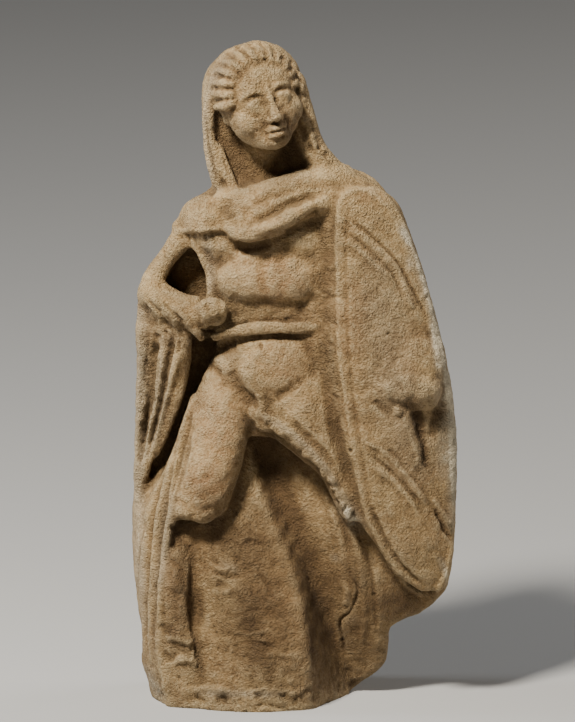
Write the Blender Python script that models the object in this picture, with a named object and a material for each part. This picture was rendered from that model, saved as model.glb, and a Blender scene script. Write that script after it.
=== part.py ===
"""A moulded terracotta figurine of a standing warrior with a cloak and a long oval shield.

The real piece is one fired clay body, so it is one solid. Overlapping balls, rolls and boards of clay are
joined into one skin, the skin is softened, and folds, creases and breaks are pressed into its front.
"""

import math

import bmesh
import bpy
import numpy as np
from mathutils import Euler, Matrix, Vector
from mathutils.bvhtree import BVHTree

# Driving sizes, in metres.
FIGURE_HEIGHT = 0.133
SKIN_CELL = 0.0005

# The other sizes are in parts of the figure's height, 133 parts to the height.
PARTS_IN_HEIGHT = 133
PART = FIGURE_HEIGHT / PARTS_IN_HEIGHT
TRIANGLES = 9600
FOOT_CUT = 1.2

ARM_RADIUS = 2.4
THIGH_RADIUS = 5.9
COLLAR_RADIUS = 2.7
SHIELD_EDGE = 1.5
LOCK_RADIUS = 1.08
LOCKS = 13
BACK_FOLD = 0.55

# Places are given as a viewer in front sees them, looking down by this angle.
VIEW_TILT = math.radians(12)
TO_VIEWER = Vector((0, -math.cos(VIEW_TILT), math.sin(VIEW_TILT)))

# The head is turned to its left, thrown back a little and leans to its right.
HEAD_MIDDLE = (-2.5, 119.2, -4.6)
HEAD_TURN = (-8, -13, 20)


def seen(across, up, depth):
    """The place of a point drawn at across, up and lying at that depth behind the middle plane."""
    return Vector((across, depth, (up - depth * math.sin(VIEW_TILT)) / math.cos(VIEW_TILT)))


def eased(rows, steps):
    """Rows along a smooth curve through the given rows, every column eased alike."""
    p = np.array([list(row) for row in rows], float)
    p = np.vstack([2 * p[0] - p[1], p, 2 * p[-1] - p[-2]])
    out = []
    for i in range(1, len(p) - 2):
        for t in np.arange(steps) / steps:
            out.append(
                p[i]
                + 0.5 * t * (p[i + 1] - p[i - 1])
                + t * t * (p[i - 1] - 2.5 * p[i] + 2 * p[i + 1] - 0.5 * p[i + 2])
                + t * t * t * (1.5 * (p[i] - p[i + 1]) + 0.5 * (p[i + 2] - p[i - 1]))
            )
    out.append(p[-2])
    return np.array(out)


def loft(clay, rings):
    """Adds a closed body through rings of equally many points."""
    loops = [[clay.verts.new(point) for point in ring] for ring in rings]
    for low, high in zip(loops, loops[1:]):
        for i, corner in enumerate(low):
            after = (i + 1) % len(low)
            clay.faces.new((corner, low[after], high[after], high[i]))
    clay.faces.new(reversed(loops[0]))
    clay.faces.new(loops[-1])


def ball(clay, centre, radii, turn=(0, 0, 0)):
    """Adds an ellipsoid, turned by the given angles in degrees."""
    place = Matrix.Translation(centre) @ Euler([math.radians(a) for a in turn]).to_matrix().to_4x4()
    bmesh.ops.create_icosphere(clay, subdivisions=3, radius=1, matrix=place @ Matrix.Diagonal((*radii, 1)))


def tube(clay, rows, blunt=1.0, flat=1.0):
    """Adds a round-ended roll through rows of x, y, z, radius.

    A low blunt makes its last end flat, and a low flat makes it shallow from front to back.
    """
    rows = eased(rows, 6)
    centres, radii = rows[:, :3], rows[:, 3]
    along = np.gradient(centres, axis=0)
    along /= np.linalg.norm(along, axis=1)[:, None]
    caps = [(0.98, 0.2), (0.8, 0.6), (0.5, 0.866)]
    sections = [(centres[0] - along[0] * radii[0] * a, radii[0] * b, along[0]) for a, b in caps]
    sections += list(zip(centres, radii, along))
    for a, b in caps[::-1]:
        sections.append((centres[-1] + along[-1] * radii[-1] * a * blunt, radii[-1] * b, along[-1]))
    angles = np.linspace(0, 2 * math.pi, 14, endpoint=False)
    rings = []
    for centre, radius, direction in sections:
        side = np.cross(direction, (0.02, 1, 0.01))
        side /= np.linalg.norm(side)
        front = np.cross(side, direction)
        ring = [radius * (math.cos(a) * side + math.sin(a) * front) for a in angles]
        rings.append(centre + np.array(ring) * (1, flat, 1))
    loft(clay, rings)


def roll(clay, stations, blunt=1.0, flat=1.0):
    """Adds a roll of clay through drawn stations of across, up, depth, radius."""
    tube(clay, [(*seen(*s[:3]), s[3]) for s in stations], blunt, flat)


def board(clay, stations, thickness):
    """Adds a slab between two drawn edges.

    Stations are up, left across, left depth, right across, right depth, bulge to the front.
    """
    t = np.linspace(0, 1, 16)
    rings = []
    for up, left, left_depth, right, right_depth, bulge in eased(stations, 5):
        across = left + (right - left) * t
        depth = left_depth + (right_depth - left_depth) * t
        front = [seen(a, up, d) for a, d in zip(across, depth - bulge * np.sin(np.pi * t) ** 0.8)]
        behind = [seen(a, up, d + thickness) for a, d in zip(across[::-1], depth[::-1])]
        rings.append(front + behind)
    loft(clay, rings)


# The outline of cloak, hair and base as a viewer sees it: up, across.
LEFT_EDGE = [
    (-0.5, -21.2), (2.4, -24.1), (6.4, -25.9), (11, -25.4), (18, -26.7), (26, -27.5), (35, -27.7), (45, -27),
    (60, -26.5), (76, -26), (82, -25), (87, -21.8), (93, -19), (98, -16), (101.6, -11.4), (107, -12.2),
    (113, -13.3), (120, -13.6), (124.5, -12.4), (127.8, -9.6), (129.6, -6.2), (130.4, -3.4),
]
RIGHT_EDGE = [
    (-0.5, 14.6), (2.8, 19), (7, 23.2), (13.6, 23.9), (15.4, 26.4), (16.8, 30.4), (18.8, 33.2), (22.2, 36),
    (30, 36.8), (40, 37), (50, 37.4), (56, 37), (64, 35.8), (73, 33.7), (84.4, 30.6), (93.8, 27),
    (99.4, 23.6),
    (103, 20.4), (105.2, 15), (109, 11), (117.8, 7.6), (124.4, 6), (127.2, 4.2), (129.4, 1.6), (130.4, -2.2),
]
# Its front and back faces: height, depth. The front runs forward below the belly, into the base.
FRONT_FACE = [
    (0, -17), (8, -16.2), (18, -13.6), (28, -10.6), (38, -7.6), (46, -5.2), (54, -3), (62, -0.6), (70, 0.6),
    (90, 0.4), (126, -3), (130, -2.4), (132, -0.8), (133, 1.2),
]
BACK_FACE = [(0, 14), (20, 16), (50, 17), (80, 16), (98, 13), (108, 11), (118, 10.2), (125, 8.8), (130, 6.4),
             (133, 3)]


# Height, across of the corner where the front turns back towards the shield, and how steeply it turns
# there and at the foot.
CORNER = [(0, 7), (10, 7.6), (20, 6.6), (30, 4.2), (43, -1.6), (51, -3.8), (62, -6)]
TURN_SLOPE = 3
FOOT_SLOPE = 1.7
# How far back the turned part lies, how much of that it wins back over its width, and where it ends.
TURNED_TO = [(0, 2), (8, -1), (18, -4), (30, -5), (45, -2.6), (62, 0)]
TURNED_RISE = 1.6
TURNED_WIDTH = 8
TURNED_END = 22
CHANNEL_TO = 2
# The same on the left, where the front ends at the channel beside the thigh.
LEFT_CORNER = [(30, -34), (36, -28), (42, -22.6), (50, -17), (58, -14), (66, -12), (74, -11)]
LEFT_SLOPE = 2
# How deep the hollows under the break of the left thigh and beside the shin are.
POCKET = 3
SHIN_HOLLOW = 4


def edge_at(edge, place):
    rows = eased(edge, 8)
    return float(np.interp(place, rows[:, 0], rows[:, 1]))


def cloak_and_base(clay):
    """The whole mass of the cloak, from the base to the crown, as level outlines."""
    middle = 2.5
    angle = np.linspace(0, 2 * math.pi, 240, endpoint=False)
    c, s = np.cos(angle), np.sin(angle)
    rings = []
    for height in np.linspace(-FOOT_CUT, 133, 180):
        up = height * math.cos(VIEW_TILT) + middle * math.sin(VIEW_TILT)
        left, right = edge_at(LEFT_EDGE, up), edge_at(RIGHT_EDGE, up)
        # Below the cloak's hem the base's right end is broken off short.
        wide = max(right, 37 - 15 * (1 - height / 30) ** 2) if height < 30 else right
        front, back = edge_at(FRONT_FACE, height), edge_at(BACK_FACE, height)
        corner = edge_at(CORNER, height)
        squareness = 2 + 0.8 * min(1, max(0, (height - 15) / 30))
        lean = -3 * max(0, 1 - height / 45)
        x = (left + wide) / 2 + (wide - left) / 2 * np.sign(c) * np.abs(c) ** (2 / squareness)
        x = np.minimum(right, x + lean * np.maximum(0, -s) ** 2)
        reach = np.where(s > 0, back - middle, middle - front)
        depth = middle + reach * np.sign(s) * np.abs(s) ** (2 / squareness)
        # The turned parts of the front, with a pocket at their top and a hollow beside the shin.
        slope = FOOT_SLOPE + (TURN_SLOPE - FOOT_SLOPE) * min(1, max(0, height / 15))
        turned = front + slope * (x - corner) * min(1, max(0, (66 - height) / 8))
        lies = edge_at(TURNED_TO, height) - TURNED_RISE * np.clip((x - corner - 4) / TURNED_WIDTH, 0, 1)
        lies += 0.5 * np.maximum(0, x - TURNED_END)
        turned = np.clip(turned, front, np.maximum(front, lies))
        turned += POCKET * np.exp(-(((x - corner - 3) / 3) ** 2 + ((height - 45) / 9) ** 2))
        turned += SHIN_HOLLOW * np.exp(-(((x + 14.6) / 2.2) ** 2 + ((height - 19) / 6) ** 2))
        if 30 < height < 72:
            channel = front + LEFT_SLOPE * (edge_at(LEFT_CORNER, height) - x)
            turned = np.maximum(turned, np.minimum(channel, CHANNEL_TO))
        # Broad folds that fan out down the plain back.
        spread = (x - 2) / (0.45 + 0.55 * (1 - height / 133))
        folds = BACK_FOLD * np.cos(spread * 0.62) * min(1, max(0, (96 - height) / 30)) * s
        depth = np.where(s < 0, np.maximum(depth, turned), depth + folds)
        rings.append(np.column_stack([x, depth, np.full(len(x), height)]))
    loft(clay, rings)


def torso(clay):
    """Chest, waist, belt and belly, from level rounded oblongs of height, middle, half width, front depth."""
    stations = [
        (103, 1, 10, -7), (97, 0, 11.5, -9), (92, 0, 11.4, -9.8), (88, -0.2, 11.2, -9.6),
        (84, -0.2, 11.2, -9.7),
        (80, -0.2, 11, -9.2), (77, -0.2, 10.8, -8), (74.5, 0, 10.6, -8.3), (71, 0, 10.6, -9),
        (66, 0.2, 10.6, -9.6),
        (62, 0.2, 10.4, -9.4), (58, 0.4, 9, -8.6), (54, 0.6, 6, -7),
    ]
    angles = np.linspace(0, 2 * math.pi, 48, endpoint=False)
    c, s = np.cos(angles), np.sin(angles)
    back = 4
    rings = []
    for height, middle, half, front in eased(stations, 4):
        centre, reach = (front + back) / 2, (back - front) / 2
        x = middle + half * np.sign(c) * np.abs(c) ** 0.8
        depth = centre + reach * np.sign(s) * np.abs(s) ** 0.8
        rings.append(np.column_stack([x, depth, np.full(len(x), height)]))
    loft(clay, rings[::-1])
    for across, up, depth, radii in (
        # Chest and belly.
        (-3.4, 83.4, -5.2, (6.8, 6.0, 6.8)), (4.2, 83.8, -5.2, (7.0, 6.2, 7.0)),
        (0.6, 84, -5, (7.4, 6.4, 6.8)),
        (-5.8, 83.6, -4.8, (5.2, 5.8, 6.2)), (0.8, 65.6, -5, (11.4, 6.4, 8.4)),
        # Clay that carries the breast up under the collar, and beside the bent arm.
        (6.4, 91.4, -5.2, (6, 5, 5.4)), (-9.8, 89, -4.6, (3, 3.2, 2.6)), (-9.2, 84, -3, (3.4, 4.4, 6)),
    ):
        ball(clay, seen(across, up, depth), radii)
    # The narrow belt.
    belt = [(-11, 71.3, -8.2, 1), (-8, 72.3, -8.8, 1.1), (-4, 73, -9.3, 1.3), (1, 73.3, -9.6, 1.4),
            (6, 73.2, -9.6, 1.4), (11, 73.7, -9.1, 1.2)]
    roll(clay, belt, flat=0.8)
    # Side of the body filled out to the shield.
    board(clay, [(97, 5, -7.6, 13, -8.6, 0.4), (84, 5, -8.4, 13, -9.6, 0.4), (70, 5, -8.4, 13, -9.6, 0.4),
                 (58, 5, -9, 13, -10, 0.6)], 9)


def legs(clay):
    """The right thigh down to its broken knee, the stump of its shin, and the broken left thigh."""
    r = THIGH_RADIUS
    thigh = [(-7.8, 65, -2.4, r - 1.4), (-8.6, 61, -3.6, r - 0.4), (-9.4, 56, -4.8, r),
             (-10.8, 49, -6.2, r - 0.1),
             (-12.8, 42.6, -7.2, r - 0.1), (-14, 38.4, -7.4, r - 0.4)]
    roll(clay, thigh, blunt=0.55, flat=0.92)
    # The knee's broken end.
    ball(clay, seen(-16.8, 37.2, -8.6), (2.8, 3, 2.4))
    ball(clay, seen(-13.4, 36.4, -9.2), (3, 2.6, 2.2))
    # The left thigh, broken off in a long slant.
    board(
        clay,
        [(64, -2, -8.6, 12, -9.8, 1.2), (57, -2.4, -8.4, 12.4, -10.6, 2.2), (51.8, 0.4, -8.2, 13, -11.2, 2.2),
         (47.4, 5.8, -9.2, 14, -11.6, 1.4), (43.4, 10.4, -10, 15, -11.8, 0.8),
         (38.4, 12.8, -10, 16.6, -11.4, 0.4), (34.6, 15, -9.6, 19, -10.8, 0.2)],
        8,
    )
    ball(clay, seen(-2.4, 56.4, -8.6), (1.9, 1.8, 2.2))
    ball(clay, seen(-0.8, 54, -8.4), (2.2, 1.8, 1.8))
    # The rim of the break.
    rim = [(-2, 55.6, -9.2, 1), (3.6, 52.4, -9.4, 1.1), (8.4, 47.8, -10, 1.1), (12, 43.6, -10.4, 1),
           (15.8, 36.4, -10.4, 1.1)]
    roll(clay, rim)
    # What is left of the shin.
    board(
        clay,
        [(34, -21, -6.6, -14, -6.4, 0.3), (30, -21.4, -8.4, -14.8, -8, 0.5),
         (26, -22, -10.4, -16, -10.4, 0.8),
         (16, -23, -11.8, -16.4, -12.6, 0.9), (7, -22.6, -12.4, -15, -14.2, 0.5),
         (-3, -20.6, -12.4, -15, -14.4, 0.3)],
        7,
    )


def right_arm(clay):
    """The right arm, bent, with its fist on the hip."""
    r = ARM_RADIUS
    upper_arm = [(-14.6, 94.2, -2, r + 1.2), (-17.6, 91, -2.4, r + 0.1), (-20.8, 86.9, -2.8, r - 0.4),
                 (-23.6, 82.4, -3.2, r)]
    roll(clay, upper_arm)
    forearm = [(-23.3, 80.2, -3.2, r + 1), (-20.6, 78, -4.6, r + 1.1), (-17.2, 76.6, -6.2, r + 0.8),
               (-13.4, 76, -7.8, r + 0.2)]
    roll(clay, forearm)
    # The worn fist, and a fold of cloth below it.
    ball(clay, seen(-11.4, 76, -9.2), (3.0, 2.6, 2.6), (0, 20, 0))
    roll(clay, [(-12.8, 78, -10.4, 1.2), (-11, 77.2, -11, 1.4), (-9.4, 74.4, -10.6, 1.1)])
    roll(clay, [(-13, 76.4, -10.6, 1.2), (-12.2, 75, -10.8, 1.2), (-11.6, 74, -10.2, 1)])
    roll(clay, [(-16.6, 74.8, -7.8, 1.4), (-14.8, 72.8, -8, 1.3), (-13.6, 71.2, -7.4, 1.1)])
    # Clay behind the arm and below it, which closes its hollow and joins it to the cloth.
    ball(clay, seen(-13.4, 76, -1.4), (4.4, 3.4, 3.2))
    roll(clay, [(-23.2, 80.4, 0, r + 0.4), (-17.4, 77.6, -3, r + 0.2), (-11.6, 76.4, -5, r)])
    board(
        clay,
        [(79.6, -25, -3.2, -14, -7.4, 1), (76, -25.2, -3.4, -15, -7.4, 1.2),
         (72.6, -25.3, -3, -16.4, -6.8, 1),
         (69, -25.3, -1.4, -17.6, -4.8, 0.6)],
        6,
    )


def shield(clay):
    """The long oval shield, a little convex and turned to the figure's left."""
    stations = [
        (101.4, 16, -8.6, 20.8, -8, 0.6), (99.6, 14, -10, 23.4, -7.9, 0.9),
        (95, 13.4, -11.2, 26.4, -7.8, 1.1),
        (86, 13.2, -11.8, 30, -7.8, 1.4), (74, 13.4, -12.2, 33.4, -7.8, 1.6),
        (62, 14.4, -12.4, 36.1, -7.8, 1.7),
        (52, 15.8, -12.4, 37.2, -7.8, 1.7), (42, 17.4, -12.2, 37.2, -7.8, 1.6),
        (35, 19.8, -11.8, 37, -7.9, 1.4),
        (29, 22.8, -11.2, 36.6, -8, 1.1), (24, 26, -10.4, 36, -8, 0.8), (20.6, 30, -9, 34.4, -8, 0.3),
    ]
    board(clay, stations, 5)
    # The spindle boss, broken, with the tail of its spine.
    ball(clay, seen(27, 66.4, -7.6), (8.2, 4.6, 8.6), (-8, 0, 0))
    ball(clay, seen(26.6, 62.2, -10), (7, 3.6, 4.4), (-24, 6, 0))
    ball(clay, seen(30.4, 60.6, -10), (3.8, 4.2, 4), (-20, 0, 0))
    roll(clay, [(26.8, 58, -9.8, 2.6), (27.4, 54, -9.9, 2.3), (28.8, 49.6, -9.5, 1.8),
                (30.2, 43, -8.6, 1)], flat=0.9)
    # The clay behind it, which ties it to the cloak and the body.
    fill = [
        (100.6, 13, -5, 22.6, -4.4, 0), (97, 10.6, -7, 26, -4.4, 0), (84, 10.8, -8, 30.2, -4, 0),
        (70, 11, -8.6, 33.6, -4, 0), (56, 13, -8.8, 36.6, -4, 0), (44, 16, -9, 37, -4, 0),
        (36, 18, -8, 36.8, -4, 0), (28, 24, -6, 36.2, -4, 0), (21, 31, -4, 34.2, -3, 0),
    ]
    board(clay, fill, 11)
    # Its left side, seen almost edge on.
    side = [(98, 10.4, -8.6), (84, 10.2, -9.8), (70, 10.2, -10.2), (60, 10.8, -10.6), (50, 13, -10.8),
            (42, 15, -10.8),
            (36, 17.2, -10.4), (30, 21, -9.8), (24.6, 25, -9)]
    turned_edge = [(up, x, depth, x + 2.4 * SHIELD_EDGE, depth - 1.2, 0.15) for up, x, depth in side]
    board(clay, turned_edge, 4)


def drape(clay):
    """The folded collar across the chest, the cape on the right shoulder and the folds at its side."""
    r = COLLAR_RADIUS
    ball(clay, seen(14.5, 99.6, -2), (9, 7, 5.6), (0, 25, 0))
    ball(clay, seen(1, 99, -1.5), (13, 7.4, 5), (0, -6, 0))
    upper = [(14, 103, -4.4, r + 0.4), (8, 101, -6.4, r + 1.2), (1.4, 99, -7.2, r + 1.5),
             (-4.4, 97.6, -6.8, r + 1.2),
             (-8.6, 98.2, -5.4, r + 0.2)]
    roll(clay, upper, flat=0.9)
    between = [(13.4, 100.4, -6, r), (8.6, 98.8, -7.6, r + 0.3), (3, 96.6, -8.8, r + 0.4),
               (-3.4, 94.8, -8.8, r + 0.2),
               (-7.6, 95, -7.6, r - 0.4)]
    roll(clay, between, flat=0.95)
    lower = [(13, 99, -6.8, r - 0.8), (9, 97.6, -8.8, r - 0.3), (4.6, 95.4, -10, r - 0.1),
             (0, 93.4, -10.6, r - 0.1),
             (-4, 92.2, -10.4, r - 0.2), (-7.2, 92.8, -9, r - 0.7)]
    roll(clay, lower)
    # The cape and its hem.
    ball(clay, seen(-12.2, 95.1, -2), (5.8, 7.2, 4.8))
    roll(clay, [(-18.2, 93.6, -1.6, 1.6), (-14, 93.4, -5, 1.8), (-10, 93.4, -7.2, 1.8),
                (-7.6, 93.8, -8, 1.6)])
    roll(clay, [(-15, 91, -3.8, 1.8), (-11.4, 90.4, -6.2, 2), (-8.6, 89.8, -7.2, 1.8)])
    edge = [(-15, 90.6, -4, 1.4), (-13.2, 87.4, -4.8, 1.2), (-12.1, 83.4, -5.2, 1.1),
            (-11.8, 78.8, -5.8, 1.1)]
    roll(clay, edge, flat=1.2)
    # The cloak's edge behind the arm.
    board(
        clay,
        [(93, -19, -1, -16.4, -1, 0), (87, -22, -1.8, -19, -1.4, 0), (82, -24.6, -2, -21.4, -1.4, 0),
         (76, -25.4, -2, -20, -2.4, 0)],
        7,
    )
    # The folds that hang from the forearm and gather to a point at the cloak's left edge.
    board(
        clay,
        [(78, -25.4, -1.8, -15, -6.2, 0), (72, -25.4, -1.4, -17, -5.4, 0), (66, -25.5, -0.9, -17.6, -4.2, 0),
         (58, -25.6, -0.8, -20.8, -2.8, 0), (49, -26, -0.6, -23.4, -1.8, 0), (42, -26.5, -0.4, -25.4, -1, 0),
         (37, -26.8, 0, -26.4, -0.4, 0)],
        6,
    )
    for fold in (
        [(-24.2, 80, -2.4, 2.2), (-24.8, 73, -1.6, 2.1), (-25, 67, -1, 1.8), (-25.4, 58.8, -0.6, 1.6),
         (-26, 48.8, -0.4, 1.3), (-26.6, 39, 0, 1)],
        [(-20.6, 78, -3.8, 2), (-21, 72, -3.4, 1.9), (-21.7, 66, -2.6, 1.8), (-23, 58.8, -1.6, 1.5),
         (-24.8, 48.8, -0.8, 1.2), (-26.4, 39, -0.2, 0.9)],
        [(-17, 77, -5.2, 2.1), (-17.6, 70.6, -5, 2), (-18.6, 66, -4, 1.7), (-21.1, 58.8, -2.6, 1.4),
         (-23.6, 49.6, -1.4, 1.1), (-26, 40, -0.4, 0.8)],
    ):
        roll(clay, fold)
    # The cloth that lies along the thigh and falls to the base.
    board(
        clay,
        [(60, -15.6, -4.6, -11, -8, 0.2), (54, -17.6, -5, -12, -9.2, 0.5), (47, -20.2, -4.6, -14, -9.8, 0.8),
         (40, -23.8, -3.8, -16.6, -10.2, 1.2), (34, -26.8, -1.8, -19, -10.2, 1.4),
         (26, -26.8, -1.4, -21, -10.6, 1.4),
         (16, -25.8, -2, -22.2, -11.2, 1), (7, -25.4, -2.6, -22.4, -11.6, 0.8),
         (-3, -23.4, -3, -20.6, -11.4, 0.6)],
        8,
    )


def hair(clay):
    """The hair that falls behind the neck, its strands, and the ring of short locks round the face."""
    board(
        clay,
        [(124, -9.6, -2, 4, -2, 0), (118, -11.8, -2.4, 6, -2.2, 0), (110, -11.8, -2.4, 8, -2.4, 0),
         (104, -10.4, -3, 12, -3, 0), (100, -10.4, -4.4, 14, -3.4, 0)],
        9,
    )
    roll(clay, [(5.6, 113, -1, 2), (6, 108, -1.6, 2.2), (5.4, 103.6, -3, 2.4)])
    roll(clay, [(-10.6, 123.4, -2.6, 1.4), (-12.2, 116, -3, 1.3), (-12, 109, -3.4, 1.3),
                (-10.6, 102, -3.8, 1.2)])
    roll(clay, [(-10, 109.4, -3.8, 0.9), (-8.8, 105, -4.4, 1.1), (-7.4, 101.4, -5.2, 1.1)])
    roll(clay, [(4.6, 122, -2.4, 2.6), (6.4, 115, -2.8, 2.6), (8.4, 109, -3, 2.8), (11.6, 104.6, -3.2, 2.8)])
    place = head_place()
    for i in range(LOCKS):
        angle = math.radians(-94 + 186 * i / (LOCKS - 1))
        sway = math.radians(9 * (-1) ** i)
        rows = []
        for out, depth, radius in ((7.0, -4.6, 0.7), (7.6, -3.7, 1.0), (8.1, -2.3, 0.95), (8.8, 0.6, 0.65)):
            turn = angle + sway * (out - 7) / 2.4
            across = out * math.sin(turn) * (0.9 if angle > 0 else 0.98)
            point = Vector((across, depth - 0.6 * math.cos(angle), 1.1 + out * math.cos(turn)))
            rows.append((*(place @ point), radius * LOCK_RADIUS))
        tube(clay, rows)
    # A curl over the right ear.
    roll(clay, [(-8.8, 119.4, -5.6, 1.3), (-8, 116.8, -6.6, 1.6), (-8.2, 114.6, -6.2, 1.2)])


def head_place():
    turn = Euler([math.radians(a) for a in HEAD_TURN]).to_matrix().to_4x4()
    return Matrix.Translation(seen(*HEAD_MIDDLE)) @ turn


def head(clay):
    """Neck, skull and a calm, even face divided in thirds from hairline to brow to nose to chin."""
    roll(clay, [(-1.2, 100, 1.4, 6.4), (-1.2, 107, 1.6, 5.6), (-1.6, 113, 0, 5.6)])
    # Clay in the hollow between the neck and the hair.
    ball(clay, seen(3.4, 104, -0.8), (4.2, 3.6, 5))
    place = head_place()
    turn = HEAD_TURN

    def feature(x, y, z, radii):
        ball(clay, place @ Vector((x, y, z)), radii, turn)

    def line(rows):
        tube(clay, [(*(place @ Vector(row[:3])), row[3]) for row in rows])

    feature(0, 0.6, 1.6, (8.4, 8.2, 8.4))
    feature(0, -1.4, -2.6, (7.4, 6.8, 8.0))
    feature(0, -2.8, 2.6, (6.8, 4.8, 5.2))
    feature(0, -4.4, -8.0, (3.8, 3.1, 2.9))
    for side in (-1, 1):
        feature(side * 4.0, -4.7, -3.6, (3.0, 2.5, 3.2))
        feature(side * 2.9, -6.6, -1.0, (1.5, 0.9, 0.9))
        feature(side * 1.1, -8.1, -4.3, (0.8, 0.9, 0.7))
        line([(side * 0.9, -7.4, 1.3, 0.5), (side * 2.9, -7.2, 1.8, 0.6), (side * 5.0, -5.8, 1.0, 0.5)])
    line([(0, -7.3, 1.6, 0.8), (0, -8.0, -0.8, 0.8), (0, -8.9, -3.0, 0.95), (0, -9.1, -4.0, 1.15)])
    line([(-2.2, -7.0, -6.5, 0.4), (-0.7, -7.9, -6.2, 0.7), (0.7, -7.9, -6.2, 0.7), (2.2, -7.0, -6.5, 0.4)])
    line([(-1.7, -7.1, -7.4, 0.45), (0, -7.8, -7.6, 0.8), (1.7, -7.1, -7.4, 0.45)])


def blocked_out():
    """All the forms in one mesh, still overlapping."""
    clay = bmesh.new()
    cloak_and_base(clay)
    torso(clay)
    legs(clay)
    right_arm(clay)
    shield(clay)
    drape(clay)
    head(clay)
    hair(clay)
    bmesh.ops.scale(clay, vec=(PART, PART, PART), verts=clay.verts)
    mesh = bpy.data.meshes.new("figurine")
    clay.to_mesh(mesh)
    clay.free()
    return mesh


def evaluated(obj):
    """Replaces the object's mesh by the one that its modifiers make."""
    graph = bpy.context.evaluated_depsgraph_get()
    mesh = bpy.data.meshes.new_from_object(obj.evaluated_get(graph))
    obj.modifiers.clear()
    obj.data = mesh


def join_skin(obj, cell, passes):
    """Joins overlapping forms into one skin, then softens its creases."""
    remesh = obj.modifiers.new("one skin", "REMESH")
    remesh.mode = "VOXEL"
    remesh.voxel_size = cell
    if passes:
        soft = obj.modifiers.new("soft creases", "SMOOTH")
        soft.factor = 0.5
        soft.iterations = passes
    evaluated(obj)


# Lines pressed into or raised from the front: height, half width, then points of across, up.
RIDGES = [
    # Cape's hem and folds on the shoulder.
    (0.3, 1.2, (-19, 92.8), (-14, 92.6), (-9, 93.2)),
    (0.3, 1.6, (-17, 97), (-13, 98.4), (-10.4, 100.4)),
    # Upper and lower diagonal ribs of the shield.
    (0.45, 0.9, (14.6, 94.6), (16, 93.4), (19, 90.8), (21.6, 88.8), (25.6, 84.8), (27.6, 78.8), (29.8, 75)),
    (0.4, 0.8, (14.4, 90.8), (16.4, 89.6), (19.6, 87)),
    (0.5, 1.0, (18.6, 51), (23, 48.4), (26.6, 44.4), (29.6, 40.6), (31.4, 37)),
    (0.4, 0.9, (32.4, 39.4), (34, 37), (36.4, 33.6)),
    # Rim of the shield, up its left side and over the top.
    (0.5, 0.9, (18, 40.6), (16.4, 50.8), (15, 60), (14, 66.8), (13.6, 74), (13.4, 84), (13.4, 92),
    (13.8, 97.6),
     (16, 100.2), (19, 100.4), (22, 98.6), (24.6, 95), (26.6, 90)),
    (0.7, 1.1, (33, 19.6), (29.4, 20.4), (26.4, 23.2), (23.6, 27.6), (21, 32.6), (19, 37), (17.8, 42)),
    # Folds that hang from the forearm.
    (0.5, 1.1, (-25.6, 70), (-25.8, 66.8), (-26.1, 58.8), (-26.6, 48.8), (-27, 39)),
    (0.5, 1.0, (-21.6, 71), (-21.6, 66.8), (-22.9, 58.8), (-24.8, 48.8), (-26.6, 39)),
    (0.5, 1.0, (-17.8, 70), (-18.6, 66.8), (-20.8, 58.8), (-23.4, 49.6), (-26, 40)),
    # Cloth along the thigh.
    (0.55, 1.0, (-14, 62), (-16.4, 56), (-18, 48.8), (-19.6, 38.8), (-21.6, 24), (-22.4, 8)),
    (0.55, 0.9, (-18.6, 50), (-21, 42), (-22.6, 34), (-23.6, 22), (-24, 6)),
    (0.4, 0.9, (-23.6, 40), (-25.4, 30), (-25.8, 18), (-25.4, 8)),
    # Shoulder of the right hip.
    (0.5, 1.9, (-11.2, 67.6), (-9.4, 66), (-7.6, 64)),
]
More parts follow.
